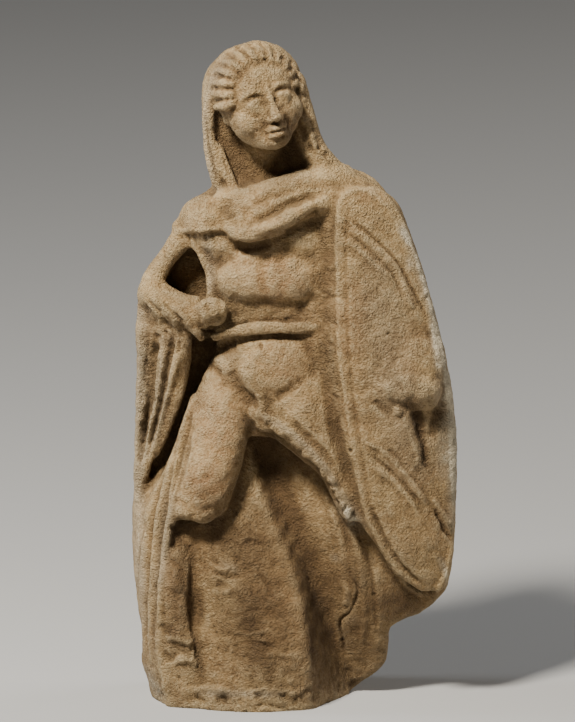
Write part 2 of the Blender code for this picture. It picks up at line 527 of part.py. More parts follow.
CREASES = [
    # Between the fingers.
    (0.4, 0.7, (-11.8, 77.4), (-11, 75.6), (-10.6, 74.4)),
    (0.5, 1.3, (-13.6, 74.6), (-12.2, 73.4), (-10, 74.8), (-7.4, 75.4)),
    # Under the chest and under the belt.
    (0.5, 2.0, (-9, 76.2), (-5, 76.8), (0, 77), (5, 76.8), (9, 77.2)),
    (0.4, 0.8, (-9.4, 70), (-4, 70.9), (2, 71.2), (8, 71.2)),
    (0.6, 2.4, (-11, 69.4), (-8.6, 69.8), (-6.6, 70)),
    # Groin and navel.
    (0.8, 1.8, (-8, 65.4), (-6.4, 62.4), (-4.8, 59.8), (-3, 57.4)),
    (0.6, 1.3, (5.2, 62.2), (3.4, 60.4), (1, 59)),
    (0.5, 0.7, (-1.9, 70.2), (-1.8, 69.2)),
    # Between the collar's folds, and the hollow under it.
    (0.7, 1.3, (10, 99.8), (4.4, 97.9), (0.4, 95.8), (-3.6, 93.9)),
    (0.25, 1.4, (14, 101.4), (9, 101.6), (3, 100), (-2, 98.6)),
    (0.9, 1.1, (10.2, 96.6), (8.4, 95.2), (5.4, 93), (2.6, 91.6)),
    (1.1, 1.7, (0.6, 90.6), (-2, 89.4), (-5, 89), (-7.6, 89.8)),
    (0.6, 2.0, (-8.6, 99.2), (-8.4, 96.8), (-7.6, 94.6)),
    # Inside the shield's rim.
    (0.35, 0.7, (28.6, 23), (25.6, 26.6), (22.8, 31), (20.4, 37), (18.6, 46), (17, 56), (15.8, 66),
    (15.2, 76),
     (15, 88), (15.4, 96)),
    # Between the body and the shield's side.
    (0.45, 1.7, (11.2, 92), (11, 82), (10.8, 74), (10.8, 66), (11.8, 58), (13.2, 51), (15.4, 44), (17.6, 38)),
    # Shield rib grooves and the slot at its right edge.
    (0.4, 0.7, (20, 47.8), (22.6, 46), (26, 42.8), (30, 38.2)),
    (0.6, 0.7, (33, 36.6), (34.4, 34), (36.4, 30.8)),
    # Under the boss and beside its tail.
    (0.5, 1.3, (20.4, 59), (22.4, 57.4), (24.4, 55.6)),
    (0.6, 1.8, (34.2, 57.6), (33, 54.6), (32, 51)),
    (0.5, 1.3, (29.6, 55.6), (30.4, 51), (31.2, 46)),
    # Between the hanging folds.
    (1.1, 1.1, (-23.2, 70), (-23.5, 66), (-24.3, 58.8), (-25.8, 48.8)),
    (0.8, 0.8, (-19.8, 70), (-20.2, 66), (-21.9, 58.8), (-24, 50)),
    # Cloth along the thigh.
    (0.4, 0.7, (-15.4, 58), (-17.2, 50), (-19, 42), (-20.4, 36)),
    (0.6, 0.8, (-20.2, 42), (-21.4, 35), (-22.6, 26), (-23.2, 12)),
    (0.6, 0.8, (-21, 46), (-23, 38), (-24.2, 28), (-24.8, 16)),
    # Over the shin, and the crack in the base.
    (0.5, 1.8, (-15.4, 30), (-17, 26.6)),
    (0.3, 0.7, (16, 23.8), (17.5, 20.8), (16.2, 16.6), (14, 14.4), (14.6, 10), (15, 6.6)),
]


def pressed_in(obj):
    """Raises the ridges and presses the creases into the skin that a viewer in front can see."""
    mesh = obj.data
    count = len(mesh.vertices)
    places = np.empty(count * 3)
    mesh.vertices.foreach_get("co", places)
    places = places.reshape(-1, 3) / PART
    normals = np.empty(count * 3)
    mesh.vertices.foreach_get("normal", normals)
    normals = normals.reshape(-1, 3)
    edges = np.empty(len(mesh.edges) * 2, np.int32)
    mesh.edges.foreach_get("vertices", edges)
    edges = edges.reshape(-1, 2)
    normals = shared_out(normals, edges, 6)
    normals /= np.linalg.norm(normals, axis=1)[:, None]
    facing = np.clip(normals @ np.array(TO_VIEWER) * 2.5, 0, 1)
    tree = BVHTree.FromPolygons([Vector(p) for p in places], [tuple(f.vertices) for f in mesh.polygons])
    for i in np.flatnonzero(facing):
        start = Vector(places[i]) + Vector(normals[i]) * 0.5 + TO_VIEWER * 0.2
        if tree.ray_cast(start, TO_VIEWER)[0] is not None:
            facing[i] = 0
    facing = shared_out(facing[:, None], edges, 3)[:, 0]
    ups = places[:, 2] * math.cos(VIEW_TILT) + places[:, 1] * math.sin(VIEW_TILT)
    drawn = np.column_stack([places[:, 0], ups])
    relief = np.zeros(count)
    for sign, lines in ((1, RIDGES), (-1, CREASES)):
        for height, half_width, *points in lines:
            relief += sign * height * line_weight(drawn, eased(points, 4), half_width)
    places += normals * (relief * facing)[:, None]
    mesh.vertices.foreach_set("co", (places * PART).ravel())
    mesh.update()


def shared_out(values, edges, passes):
    """Eases values from point to neighbouring point."""
    count = np.bincount(edges.ravel(), minlength=len(values))[:, None] + 1
    for _ in range(passes):
        total = values.copy()
        for column in range(values.shape[1]):
            total[:, column] += np.bincount(edges[:, 0], values[edges[:, 1], column], len(values))
            total[:, column] += np.bincount(edges[:, 1], values[edges[:, 0], column], len(values))
        values = total / count
    return values


def line_weight(drawn, path, half_width):
    """How strongly each drawn place lies on a line: 1 on it, 0 past its half width, easing at its ends."""
    low, high = path.min(0) - half_width, path.max(0) + half_width
    near = np.flatnonzero(np.all((drawn > low) & (drawn < high), axis=1))
    start, step = path[:-1], np.diff(path, axis=0)
    length = np.linalg.norm(step, axis=1)
    offset = drawn[near][:, None] - start
    along = np.clip((offset * step).sum(2) / length**2, 0, 1)
    gaps = np.linalg.norm(offset - along[..., None] * step, axis=2)
    nearest = gaps.argmin(1)
    rows = np.arange(len(near))
    travelled = np.concatenate([[0], np.cumsum(length)])
    part_way = (travelled[nearest] + along[rows, nearest] * length[nearest]) / travelled[-1]
    weight = np.zeros(len(drawn))
    weight[near] = np.clip(1 - (gaps[rows, nearest] / half_width) ** 2, 0, 1) ** 2
    weight[near] *= np.clip(np.minimum(part_way, 1 - part_way) * 8, 0.3, 1)
    return weight


def flat_base(obj):
    """Cuts the rounded foot off level with the floor and centres the figurine over it."""
    shape = bmesh.new()
    shape.from_mesh(obj.data)
    everything = shape.verts[:] + shape.edges[:] + shape.faces[:]
    cut = bmesh.ops.bisect_plane(
        shape, geom=everything, plane_co=(0, 0, 0), plane_no=(0, 0, 1), clear_inner=True
    )
    rim = [edge for edge in cut["geom_cut"] if isinstance(edge, bmesh.types.BMEdge)]
    bmesh.ops.contextual_create(shape, geom=rim)
    bmesh.ops.triangulate(shape, faces=shape.faces)
    middle = [(max(v.co[i] for v in shape.verts) + min(v.co[i] for v in shape.verts)) / 2 for i in (0, 1)]
    bmesh.ops.translate(shape, verts=shape.verts, vec=(-middle[0], -middle[1], 0))
    shape.to_mesh(obj.data)
    shape.free()


def thinned(obj, triangles):
    """Thins the skin to about this many triangles and keeps its foot flat."""
    thin = obj.modifiers.new("fewer facets", "DECIMATE")
    thin.ratio = triangles / len(obj.data.polygons)
    thin.use_collapse_triangulate = True
    evaluated(obj)
    for vert in obj.data.vertices:
        if vert.co.z < 0.0001:
            vert.co.z = 0


def fired_clay():
    clay = bpy.data.materials.new("terracotta")
    clay.use_nodes = True
    shader = clay.node_tree.nodes["Principled BSDF"]
    shader.inputs["Base Color"].default_value = (0.36, 0.25, 0.15, 1)
    shader.inputs["Roughness"].default_value = 0.88
    shader.inputs["Metallic"].default_value = 0
    return clay


def main():
    for obj in list(bpy.data.objects):
        bpy.data.objects.remove(obj, do_unlink=True)
    figurine = bpy.data.objects.new("warrior_figurine", blocked_out())
    bpy.context.scene.collection.objects.link(figurine)
    join_skin(figurine, SKIN_CELL, 7)
    pressed_in(figurine)
    soft = figurine.modifiers.new("worn surface", "SMOOTH")
    soft.factor = 0.4
    soft.iterations = 2
    evaluated(figurine)
    flat_base(figurine)
    thinned(figurine, TRIANGLES)
    figurine.data.materials.append(fired_clay())


main()
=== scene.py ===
"""A moulded terracotta figurine of a standing warrior with cloak and long shield, in studio light."""

import math

import bmesh
import bpy
import numpy as np
from mathutils import Euler, Matrix, Vector
from mathutils.bvhtree import BVHTree


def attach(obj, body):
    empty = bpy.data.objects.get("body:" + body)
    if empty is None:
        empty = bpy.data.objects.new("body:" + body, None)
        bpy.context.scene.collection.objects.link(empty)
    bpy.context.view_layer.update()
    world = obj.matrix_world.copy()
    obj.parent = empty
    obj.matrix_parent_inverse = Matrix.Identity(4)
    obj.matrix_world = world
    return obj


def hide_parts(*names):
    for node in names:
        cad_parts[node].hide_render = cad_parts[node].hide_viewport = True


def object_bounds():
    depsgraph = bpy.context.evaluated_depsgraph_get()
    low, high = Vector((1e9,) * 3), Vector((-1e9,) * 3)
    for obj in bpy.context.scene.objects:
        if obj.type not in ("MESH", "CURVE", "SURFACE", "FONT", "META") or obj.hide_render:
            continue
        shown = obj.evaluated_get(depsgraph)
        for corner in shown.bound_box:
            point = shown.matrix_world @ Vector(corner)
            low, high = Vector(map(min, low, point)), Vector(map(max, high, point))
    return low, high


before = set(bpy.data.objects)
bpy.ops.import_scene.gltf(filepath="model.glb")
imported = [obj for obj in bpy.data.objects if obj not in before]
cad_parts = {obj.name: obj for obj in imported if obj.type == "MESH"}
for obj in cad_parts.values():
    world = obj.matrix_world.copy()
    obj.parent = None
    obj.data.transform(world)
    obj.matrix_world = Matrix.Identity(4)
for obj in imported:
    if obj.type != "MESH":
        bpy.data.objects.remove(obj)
cad_low, cad_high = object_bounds()

# Cloak and base
# The figurine is one body of buff terracotta, pressed in a mould and fired. Its cloak hangs down the back
# from the crown to the rough foot, and everything else is modelled in front of it. The forms are laid on
# as lumps, rolls and boards of clay, and the marks in them are drawn as a viewer in front sees them.
PARTS_IN_HEIGHT = 133.4
PART = (cad_high.z - cad_low.z) / PARTS_IN_HEIGHT
VIEW_TILT = math.radians(12)

# The main masses of clay.
clay = bmesh.new()

# Each mark is its strength and half width, in parts, and the across and up of the points it runs through.
carved = []
broken = []
pitted = []
ruddy = []
pale = []
soil_and_shade_marks = []


def eased(rows, steps):
    """Rows along a smooth curve through the given rows, every column eased alike."""
    p = np.array([list(row) for row in rows], float)
    p = np.vstack([2 * p[0] - p[1], p, 2 * p[-1] - p[-2]])
    out = []
    for i in range(1, len(p) - 2):
        for t in np.arange(steps) / steps:
            out.append(
                p[i]
                + 0.5 * t * (p[i + 1] - p[i - 1])
                + t * t * (p[i - 1] - 2.5 * p[i] + 2 * p[i + 1] - 0.5 * p[i + 2])
                + t * t * t * (1.5 * (p[i] - p[i + 1]) + 0.5 * (p[i + 2] - p[i - 1]))
            )
    out.append(p[-2])
    return np.array(out)


def loft(rings, body=clay):
    """Adds a closed body through rings of equally many points."""
    loops = [[body.verts.new(point) for point in ring] for ring in rings]
    for low, high in zip(loops, loops[1:]):
        for i, corner in enumerate(low):
            after = (i + 1) % len(low)
            body.faces.new((corner, low[after], high[after], high[i]))
    body.faces.new(reversed(loops[0]))
    body.faces.new(loops[-1])


def edge_at(edge, height):
    """Where a drawn edge lies at that height."""
    rows = eased(edge, 8)
    return float(np.interp(height, rows[:, 0], rows[:, 1]))


def risen(height, low, high):
    """How far the height has come from low to high, held between 0 and 1."""
    return min(1, max(0, (height - low) / (high - low)))


def boxy(wave, power):
    """A sine or cosine flattened towards a square section by a power below 1."""
    return np.sign(wave) * np.abs(wave) ** power


def dent(x, height, across, up, wide, high):
    """A smooth dent about a place across and up: 1 in its middle, fading to 0."""
    return np.exp(-(((x - across) / wide) ** 2 + ((height - up) / high) ** 2))


# The outline of cloak, hair and base as a viewer sees it: up, across.
LEFT_EDGE = [
    (-0.5, -21.2), (2.4, -24.1), (6.4, -25.9), (11, -25.4), (18, -26.7), (26, -27.5), (35, -27.7), (45, -27),
    (60, -26.5), (76, -26), (82, -25), (87, -21.8), (93, -19), (98, -16), (101.6, -11.4), (107, -12.2),
    (113, -13.3), (120, -13.6), (124.5, -12.4), (127.8, -9.6), (129.6, -6.2), (130.4, -3.4),
]
RIGHT_EDGE = [
    (-0.5, 14.6), (2.8, 19), (7, 23.2), (13.6, 23.9), (15.4, 26.4), (16.8, 30.4), (18.8, 33.2), (22.2, 36),
    (30, 36.8), (40, 37), (50, 37.4), (56, 37), (64, 35.8), (73, 33.7), (84.4, 30.6), (93.8, 27),
    (99.4, 23.6), (103, 20.4), (105.2, 15), (109, 11), (117.8, 7.6), (124.4, 6), (127.2, 4.2), (129.4, 1.6),
    (130.4, -2.2),
]
# Front and back faces: height, depth. The front runs forward below the belly, into the base.
FRONT_FACE = [
    (0, -17), (8, -16.2), (18, -13.6), (28, -10.6), (38, -7.6), (46, -5.2), (54, -3), (62, -0.6), (70, 0.6),
    (90, 0.4), (126, -3), (130, -2.4), (132, -0.8), (133, 1.2),
]
BACK_FACE = [
    (0, 14), (20, 16), (50, 17), (80, 16), (98, 13), (108, 11), (118, 10.2), (125, 8.8), (130, 6.4), (133, 3),
]
# Height, across of the corner where the front turns back towards the shield, and how steeply it turns
# there and at the foot.
CORNER = [(0, 7), (10, 7.6), (20, 6.6), (30, 4.2), (43, -1.6), (51, -3.8), (62, -6)]
TURN_SLOPE = 3
FOOT_SLOPE = 1.7
# How far back the turned part lies, how much of that it wins back over its width, and where it ends.
TURNED_TO = [(0, 2), (8, -1), (18, -4), (30, -5), (45, -2.6), (62, 0)]
TURNED_RISE = 1.6
TURNED_WIDTH = 8
TURNED_END = 22
# The same on the left, where the front ends at the dark channel beside the thigh.
LEFT_CORNER = [(30, -34), (36, -28), (42, -22.6), (50, -17), (58, -14), (66, -12), (74, -11)]
LEFT_SLOPE = 2
CHANNEL_TO = 2
# How deep the hollows under the break of the left thigh and beside the shin are.
POCKET = 3
SHIN_HOLLOW = 4
# Below the cloak's hem the base's right end is broken off short of its whole width.
HEM = 30
WHOLE_END = 37
END_LOSS = 15
# How finely the cloak is divided around and upwards, the crown, the clay that is cut away below the floor,
# the depth of the back's folds and that of the middle plane.
CLOAK_POINTS = 220
CLOAK_RINGS = 260
CROWN = 133
FOOT_CUT = 1.2
BACK_FOLD = 0.55
MIDDLE = 2.5

angle = np.linspace(0, 2 * math.pi, CLOAK_POINTS, endpoint=False)
c, s = np.cos(angle), np.sin(angle)
rings = []
for height in np.linspace(-FOOT_CUT, CROWN, CLOAK_RINGS):
    up = height * math.cos(VIEW_TILT) + MIDDLE * math.sin(VIEW_TILT)
    left, right = edge_at(LEFT_EDGE, up), edge_at(RIGHT_EDGE, up)
    wide = max(right, WHOLE_END - END_LOSS * (1 - height / HEM) ** 2) if height < HEM else right
    front, back = edge_at(FRONT_FACE, height), edge_at(BACK_FACE, height)
    corner = edge_at(CORNER, height)
    # Sections are oval at the foot and a little squarer above.
    power = 2 / (2 + 0.8 * risen(height, 15, 45))
    lean = -3 * max(0, 1 - height / 45)
    x = (left + wide) / 2 + (wide - left) / 2 * boxy(c, power)
    x = np.minimum(right, x + lean * np.maximum(0, -s) ** 2)
    reach = np.where(s > 0, back - MIDDLE, MIDDLE - front)
    depth = MIDDLE + reach * boxy(s, power)
    # The turned part of the front with a pocket at its top, and broad folds that fan out down the back.
    slope = FOOT_SLOPE + (TURN_SLOPE - FOOT_SLOPE) * risen(height, 0, 15)
    turned = front + slope * (x - corner) * risen(height, 66, 58)
    lies = edge_at(TURNED_TO, height) - TURNED_RISE * np.clip((x - corner - 4) / TURNED_WIDTH, 0, 1)
    lies += 0.5 * np.maximum(0, x - TURNED_END)
    turned = np.clip(turned, front, np.maximum(front, lies))
    turned += POCKET * dent(x - corner, height, 3, 45, 3, 9)
    turned += SHIN_HOLLOW * dent(x, height, -14.6, 19, 2.2, 6)
    channel = front + LEFT_SLOPE * (edge_at(LEFT_CORNER, height) - x) * (30 < height < 72)
    turned = np.maximum(turned, np.minimum(channel, CHANNEL_TO))
    spread = (x - 2) / (0.45 + 0.55 * (1 - height / CROWN))
    folds = BACK_FOLD * np.cos(spread * 0.62) * risen(height, 96, 66) * s
    depth = np.where(s < 0, np.maximum(depth, turned), depth + folds)
    rings.append(np.column_stack([x, depth, np.full(len(x), height)]))
loft(rings)

carved += [
    # Striations down the backdrop.
    (0.3, 1.2, (9.4, 46), (12, 38), (14.4, 29), (15, 20)),
    (-0.4, 0.9, (11.4, 44), (14, 36), (16.4, 28)),
    (0.4, 1, (15.4, 36), (18, 27), (19, 17), (18.4, 9)),
    (-0.35, 0.8, (18.6, 30), (20.6, 22), (21.4, 12)),
    # Smears and ledges in the rough front of the base.
    (0.4, 0.8, (-12.4, 26.6), (-9.6, 24.8), (-6.6, 25.6)),
    (-0.4, 0.8, (-11.6, 24.8), (-8.4, 23.4), (-6, 24)),
    (0.35, 0.7, (-6.4, 30.6), (-3.4, 31.4), (-0.6, 30.4)),
    (-0.3, 0.7, (-6.8, 15.6), (-3, 17), (0.4, 16.4)),
    (0.35, 0.8, (-9, 13.4), (-4.4, 12), (-0.4, 13)),
    (-0.35, 0.7, (-8.4, 9.6), (-3.8, 10.4), (1.8, 9.4)),
    (0.3, 0.7, (-3, 7.6), (2.4, 8), (6, 7)),
    (-0.4, 0.9, (-2.6, 24.6), (-0.6, 22.2), (0.6, 19)),
    # The crack at its lower right.
    (-0.55, 0.45, (16, 23.8), (17.5, 20.8), (16.2, 16.6), (14, 14.4), (14.6, 10), (15, 6.6)),
    (0.4, 1.1, (14.4, 22.6), (15.6, 20.2), (14.6, 17.4)),
    # The chipped lip of the foot.
    (0.45, 1.1, (-16, 0.8), (-12, 1.4), (-7.4, 0.6)),
    (0.4, 1, (-5, 0.4), (0, 1), (5, 0.4), (8, 1.8)),
    (-0.5, 1.4, (-11, -1.4), (-9.6, -0.8), (-8.6, -1.6)),
    (-0.35, 1.1, (-17, -1.4), (-14.6, -1), (-12.8, -1.8)),
    (-0.4, 0.8, (-3, -2.6), (-0.6, -2), (2.6, -2.8)),
    # A pit beside the shin, with a ledge under it.
    (-0.4, 1.2, (-10.8, 22.4), (-9.6, 22.2)),
    (0.35, 0.9, (-11, 20.6), (-9, 20.4), (-7.4, 21)),
]
broken += [
    (1, 4.6, (-25.6, 6), (-23, 2), (-20, -1)),
    (0.8, 3.4, (-16, 0), (-8, -0.4), (2, -0.8), (12, 0), (20, 5)),
    (1, 9, (-6, 34), (-5, 20), (0, 10), (2, 4)),
    (0.8, 7, (-9, 10), (-2, 6), (5, 6)),
    (0.35, 5, (17, 26), (16.6, 14), (16, 6)),
    (0.5, 3.4, (22, 14), (23, 9)),
]
pitted += [(0.4, 8, (-6, 34), (-4, 18), (2, 8))]
pale += [
    (0.7, 1.6, (-25, 4.6), (-22, -0.8)), (0.5, 1.2, (-14, 0.2), (2, 0)),
    (0.5, 1.2, (12.6, 27.6), (13.6, 26.8)), (0.45, 1.4, (16, 14.8), (18, 14.4)),
    (0.4, 1.4, (-9.4, 26), (-6.4, 25)),
]
ruddy += [(0.5, 8, (-2, 30), (0, 16), (2, 8))]
# Soil on the base, with painted shade on its turned wall, in the pocket under the thigh's break and under the
# shield's tip.
soil_and_shade_marks += [
    (0.65, 9, (-8, 36), (-6, 20), (-4, 10)), (0.95, 7, (-1, 34), (1, 14), (2, 6)),
    (1, 5, (5.4, 34), (9.6, 22), (10.4, 8)),
    (0.7, 5, (-1, 48), (4.4, 34), (7.6, 20), (10, 4)), (0.9, 8, (16, 30), (18, 14), (20, 4)),
    (0.3, 3, (-16, 2), (6, 1)),
    (1, 5, (22, 17), (31, 18)), (0.7, 7, (-8, 12), (-1, 8)),
    (0.9, 3.6, (-1, 50), (1, 44), (2.4, 38)),
]

# Torso
# Bare chest, waist and belly, soft as they came from the mould, with a narrow belt round the waist and
# the clay beside them filled out to the arm and the shield.
ROLL_POINTS = 24
BOARD_POINTS = 28
TORSO_POINTS = 90
BACK_OF_BODY = 4

# Small forms, which are laid on the main masses once those are smooth.
details = bmesh.new()


def seen(across, up, depth):
    """The place of a point drawn at across, up and lying at that depth behind the middle plane."""
    return Vector((across, depth, (up - depth * math.sin(VIEW_TILT)) / math.cos(VIEW_TILT)))


def ball(centre, radii, turn=(0, 0, 0), body=clay):
    """Adds an ellipsoid, turned by the given angles in degrees."""
    place = Matrix.Translation(centre) @ Euler([math.radians(a) for a in turn]).to_matrix().to_4x4()
    bmesh.ops.create_icosphere(body, subdivisions=4, radius=1, matrix=place @ Matrix.Diagonal((*radii, 1)))


def tube(rows, blunt=1.0, flat=1.0, body=clay):
    """Adds a round-ended roll through rows of x, y, z, radius.

    A low blunt makes its last end flat, and a low flat makes it shallow from front to back.
    """
    rows = eased(rows, 10)
    centres, radii = rows[:, :3], rows[:, 3]
    along = np.gradient(centres, axis=0)
    along /= np.linalg.norm(along, axis=1)[:, None]
    caps = [(0.98, 0.2), (0.87, 0.5), (0.7, 0.71), (0.4, 0.92)]
    sections = [(centres[0] - along[0] * radii[0] * a, radii[0] * b, along[0]) for a, b in caps]
    sections += list(zip(centres, radii, along))
    sections += [(centres[-1] + along[-1] * radii[-1] * a * blunt, radii[-1] * b, along[-1])
                 for a, b in caps[::-1]]
    around = np.linspace(0, 2 * math.pi, ROLL_POINTS, endpoint=False)
    rings = []
    for centre, radius, direction in sections:
        side = np.cross(direction, (0.02, 1, 0.01))
        side /= np.linalg.norm(side)
        front = np.cross(side, direction)
        ring = [radius * (math.cos(a) * side + math.sin(a) * front) for a in around]
        rings.append(centre + np.array(ring) * (1, flat, 1))
    loft(rings, body)


def roll(*stations, blunt=1.0, flat=1.0, body=clay):
    """Adds a roll of clay through drawn stations of across, up, depth, radius."""
    tube([(*seen(*s[:3]), s[3]) for s in stations], blunt, flat, body)


def board(thickness, *stations):
    """Adds a slab between two drawn edges.

    Stations are up, left across, left depth, right across, right depth, bulge to the front.
    """
    t = np.linspace(0, 1, BOARD_POINTS)
    rings = []
    for up, left, left_depth, right, right_depth, bulge in eased(stations, 9):
        across = left + (right - left) * t
        depth = left_depth + (right_depth - left_depth) * t
        front = [seen(a, up, d) for a, d in zip(across, depth - bulge * np.sin(np.pi * t) ** 0.8)]
        behind = [seen(a, up, d + thickness) for a, d in zip(across[::-1], depth[::-1])]
        rings.append(front + behind)
    loft(rings)


# Sections of the torso: height, middle, half width, depth of the front.
stations = [
    (103, 1, 10, -7), (97, 0, 11.5, -9), (92, 0, 11.4, -9.8), (88, -0.2, 11.2, -9.6), (84, -0.2, 11.2, -9.7),
    (80, -0.2, 11, -9.2), (77, -0.2, 10.8, -8), (74.5, 0, 10.6, -8.3), (71, 0, 10.6, -9),
    (66, 0.2, 10.6, -9.6), (62, 0.2, 10.4, -9.4), (58, 0.4, 9, -8.6), (54, 0.6, 6, -7),
]
angle = np.linspace(0, 2 * math.pi, TORSO_POINTS, endpoint=False)
c, s = np.cos(angle), np.sin(angle)
rings = []
for height, middle, half, front in eased(stations, 9):
    centre, reach = (front + BACK_OF_BODY) / 2, (BACK_OF_BODY - front) / 2
    x = middle + half * boxy(c, 0.8)
    rings.append(np.column_stack([x, centre + reach * boxy(s, 0.8), np.full(len(x), height)]))
loft(rings[::-1])
ball(seen(-3.4, 83.4, -5.2), (6.8, 6, 6.8))
ball(seen(4.2, 83.8, -5.2), (7, 6.2, 7))
ball(seen(0.6, 84, -5), (7.4, 6.4, 6.8))
ball(seen(-5.8, 83.6, -4.8), (5.2, 5.8, 6.2))
# Clay that carries the breast up under the collar, and beside the bent arm.
ball(seen(6.4, 91.4, -5.2), (6, 5, 5.4))
ball(seen(-9.8, 89, -4.6), (3, 3.2, 2.6))
ball(seen(-9.2, 84, -3), (3.4, 4.4, 6))
ball(seen(0.8, 65.6, -5), (11.4, 6.4, 8.4))
# Side of the body filled out to the shield.
board(9, (97, 5, -7.6, 13, -8.6, 0.4), (84, 5, -8.4, 13, -9.6, 0.4), (70, 5, -8.4, 13, -9.6, 0.4),
      (58, 5, -9, 13, -10, 0.6))

# The narrow belt.
roll((-11, 71.3, -8.2, 1), (-8, 72.3, -8.8, 1.1), (-4, 73, -9.2, 1.3), (1, 73.3, -9.5, 1.3),
     (6, 73.2, -9.4, 1.25), (11, 73.7, -9, 1.1), flat=0.62, body=details)

carved += [
    # Creases over and under the belt.
    (-0.3, 2.2, (-9, 76.2), (-5, 76.8), (0, 77), (5, 76.8), (9, 77.2)),
    (-0.12, 0.8, (-9.4, 70), (-4, 70.9), (2, 71.2), (8, 71.2)),
    # Hollow at the left of the belt.
    (-0.6, 2.4, (-11, 69.4), (-8.6, 69.8), (-6.6, 70)),
    # Below the breast, at its left, and the navel.
    (-0.3, 1.4, (-10.6, 87.2), (-9.4, 86), (-7, 87)),
    (-0.35, 2.2, (-0.8, 89), (-1.4, 84), (-1, 79.6)),
    (-0.2, 2, (-8.4, 79.4), (-5, 77.9), (-1.6, 78.4)),
    (-0.25, 1.4, (3, 78), (7, 78.4), (10, 80)),
    (-0.5, 0.65, (-1.9, 70.2), (-1.8, 69.2)),
    # Groin, and the shoulder of the right hip.
    (-0.6, 1.8, (-8, 65.4), (-6.4, 62.4), (-4.8, 59.8), (-3, 57.4)),
    (-0.2, 1, (-5.6, 60.8), (-4.4, 59.2), (-3.2, 57.8)),
    (-0.4, 1.5, (5.2, 62.2), (3.4, 60.4), (1, 59)),
    (-0.25, 1.6, (9.6, 64.4), (7.4, 63.4), (5.2, 62.2)),
    (0.5, 1.9, (-11.2, 67.6), (-9.4, 66), (-7.6, 64)),
    (-0.3, 1.2, (-12.2, 65.4), (-10.6, 64.8), (-9.4, 64.2)),
    # Worn forms of the loins.
    (0.5, 1.3, (-2.4, 60.4), (-1.8, 58.4), (-1.6, 56.4)),
]
broken += [(0.25, 4, (-6, 77), (0, 76.4), (7, 76.6)), (0.15, 6, (4, 84), (4, 66))]
pitted += [(0.5, 8, (-4, 88), (4, 80), (8, 70)), (0.5, 5, (0, 78), (8, 77))]
ruddy += [(0.8, 9, (-2, 86), (4, 80)), (0.6, 7, (0, 66), (5, 64))]
# Soil with painted shade beside the arm, at the belt's left, in the groin and under the breast.
soil_and_shade_marks += [
    (0.55, 1.6, (-10.8, 87), (-8.8, 85.4)), (0.5, 1.6, (-10.4, 82), (-9.8, 78.6)),
    (0.7, 3, (-10, 70), (-7, 69)), (0.5, 2, (-7, 68), (-7.2, 64.4), (-5.6, 60.8)),
    (0.25, 5, (8, 70), (8, 60)), (0.6, 1.4, (-8, 76.6), (-4, 76.8)),
]

# Legs
# The right thigh stands down to a broken knee and a rough stump of shin. The left thigh is broken off in
# a long slanting break that shows the bright, gritty inside of the clay.
THIGH_RADIUS = 5.9


def strewn(*path, seed, count, stray, flat, shape):
    """Adds small lumps at random along a drawn line of across, up, depth.

    They stray up to that far from the line, flat times as far in depth, and shape is their radii at size 1.
    """
    chance = np.random.RandomState(seed)
    rows = eased(path, 20)
    for row in rows[np.linspace(0, len(rows) - 1, count).astype(int)]:
        size = chance.uniform(0.5, 0.95)
        middle = row + chance.uniform(-stray, stray, 3) * (1, 1, flat)
        ball(seen(*middle), size * np.array(shape), body=details)


r = THIGH_RADIUS
roll((-7.8, 65, -2.4, r - 1.4), (-8.6, 61, -3.6, r - 0.4), (-9.4, 56, -4.8, r), (-10.8, 49, -6.2, r - 0.1),
     (-12.8, 42.6, -7.2, r - 0.1), (-14, 38.4, -7.4, r - 0.4), blunt=0.55, flat=0.92)
# The knee's broken end.
ball(seen(-16.8, 37.2, -8.6), (2.8, 3, 2.4))
ball(seen(-13.4, 36.4, -9.2), (3, 2.6, 2.2))
board(8, (64, -2, -8.6, 12, -9.8, 1.2), (57, -2.4, -8.4, 12.4, -10.6, 2.2), (51.8, 0.4, -8.2, 13, -11.2, 2.2),
      (47.4, 5.8, -9.2, 14, -11.6, 1.4), (43.4, 10.4, -10, 15, -11.8, 0.8),
      (38.4, 12.8, -10, 16.6, -11.4, 0.4), (34.6, 15, -9.6, 19, -10.8, 0.2))
ball(seen(-2.4, 56.4, -8.6), (1.9, 1.8, 2.2))
ball(seen(-0.8, 54, -8.4), (2.2, 1.8, 1.8))
# Coarse grit that stands along the break.
strewn((-2, 55.6, -9.6), (3.6, 52.4, -10), (8.4, 47.8, -10.6), (12, 43.6, -11), (15.8, 36.4, -11),
       seed=5, count=34, stray=0.8, flat=0.4, shape=(1.2, 1, 1))
# What is left of the shin.
board(7, (34, -21, -6.6, -14, -6.4, 0.3), (30, -21.4, -8.4, -14.8, -8, 0.5),
      (26, -22, -10.4, -16, -10.4, 0.8), (16, -23, -11.8, -16.4, -12.6, 0.9),
      (7, -22.6, -12.4, -15, -14.2, 0.5), (-3, -20.6, -12.4, -15, -14.4, 0.3))

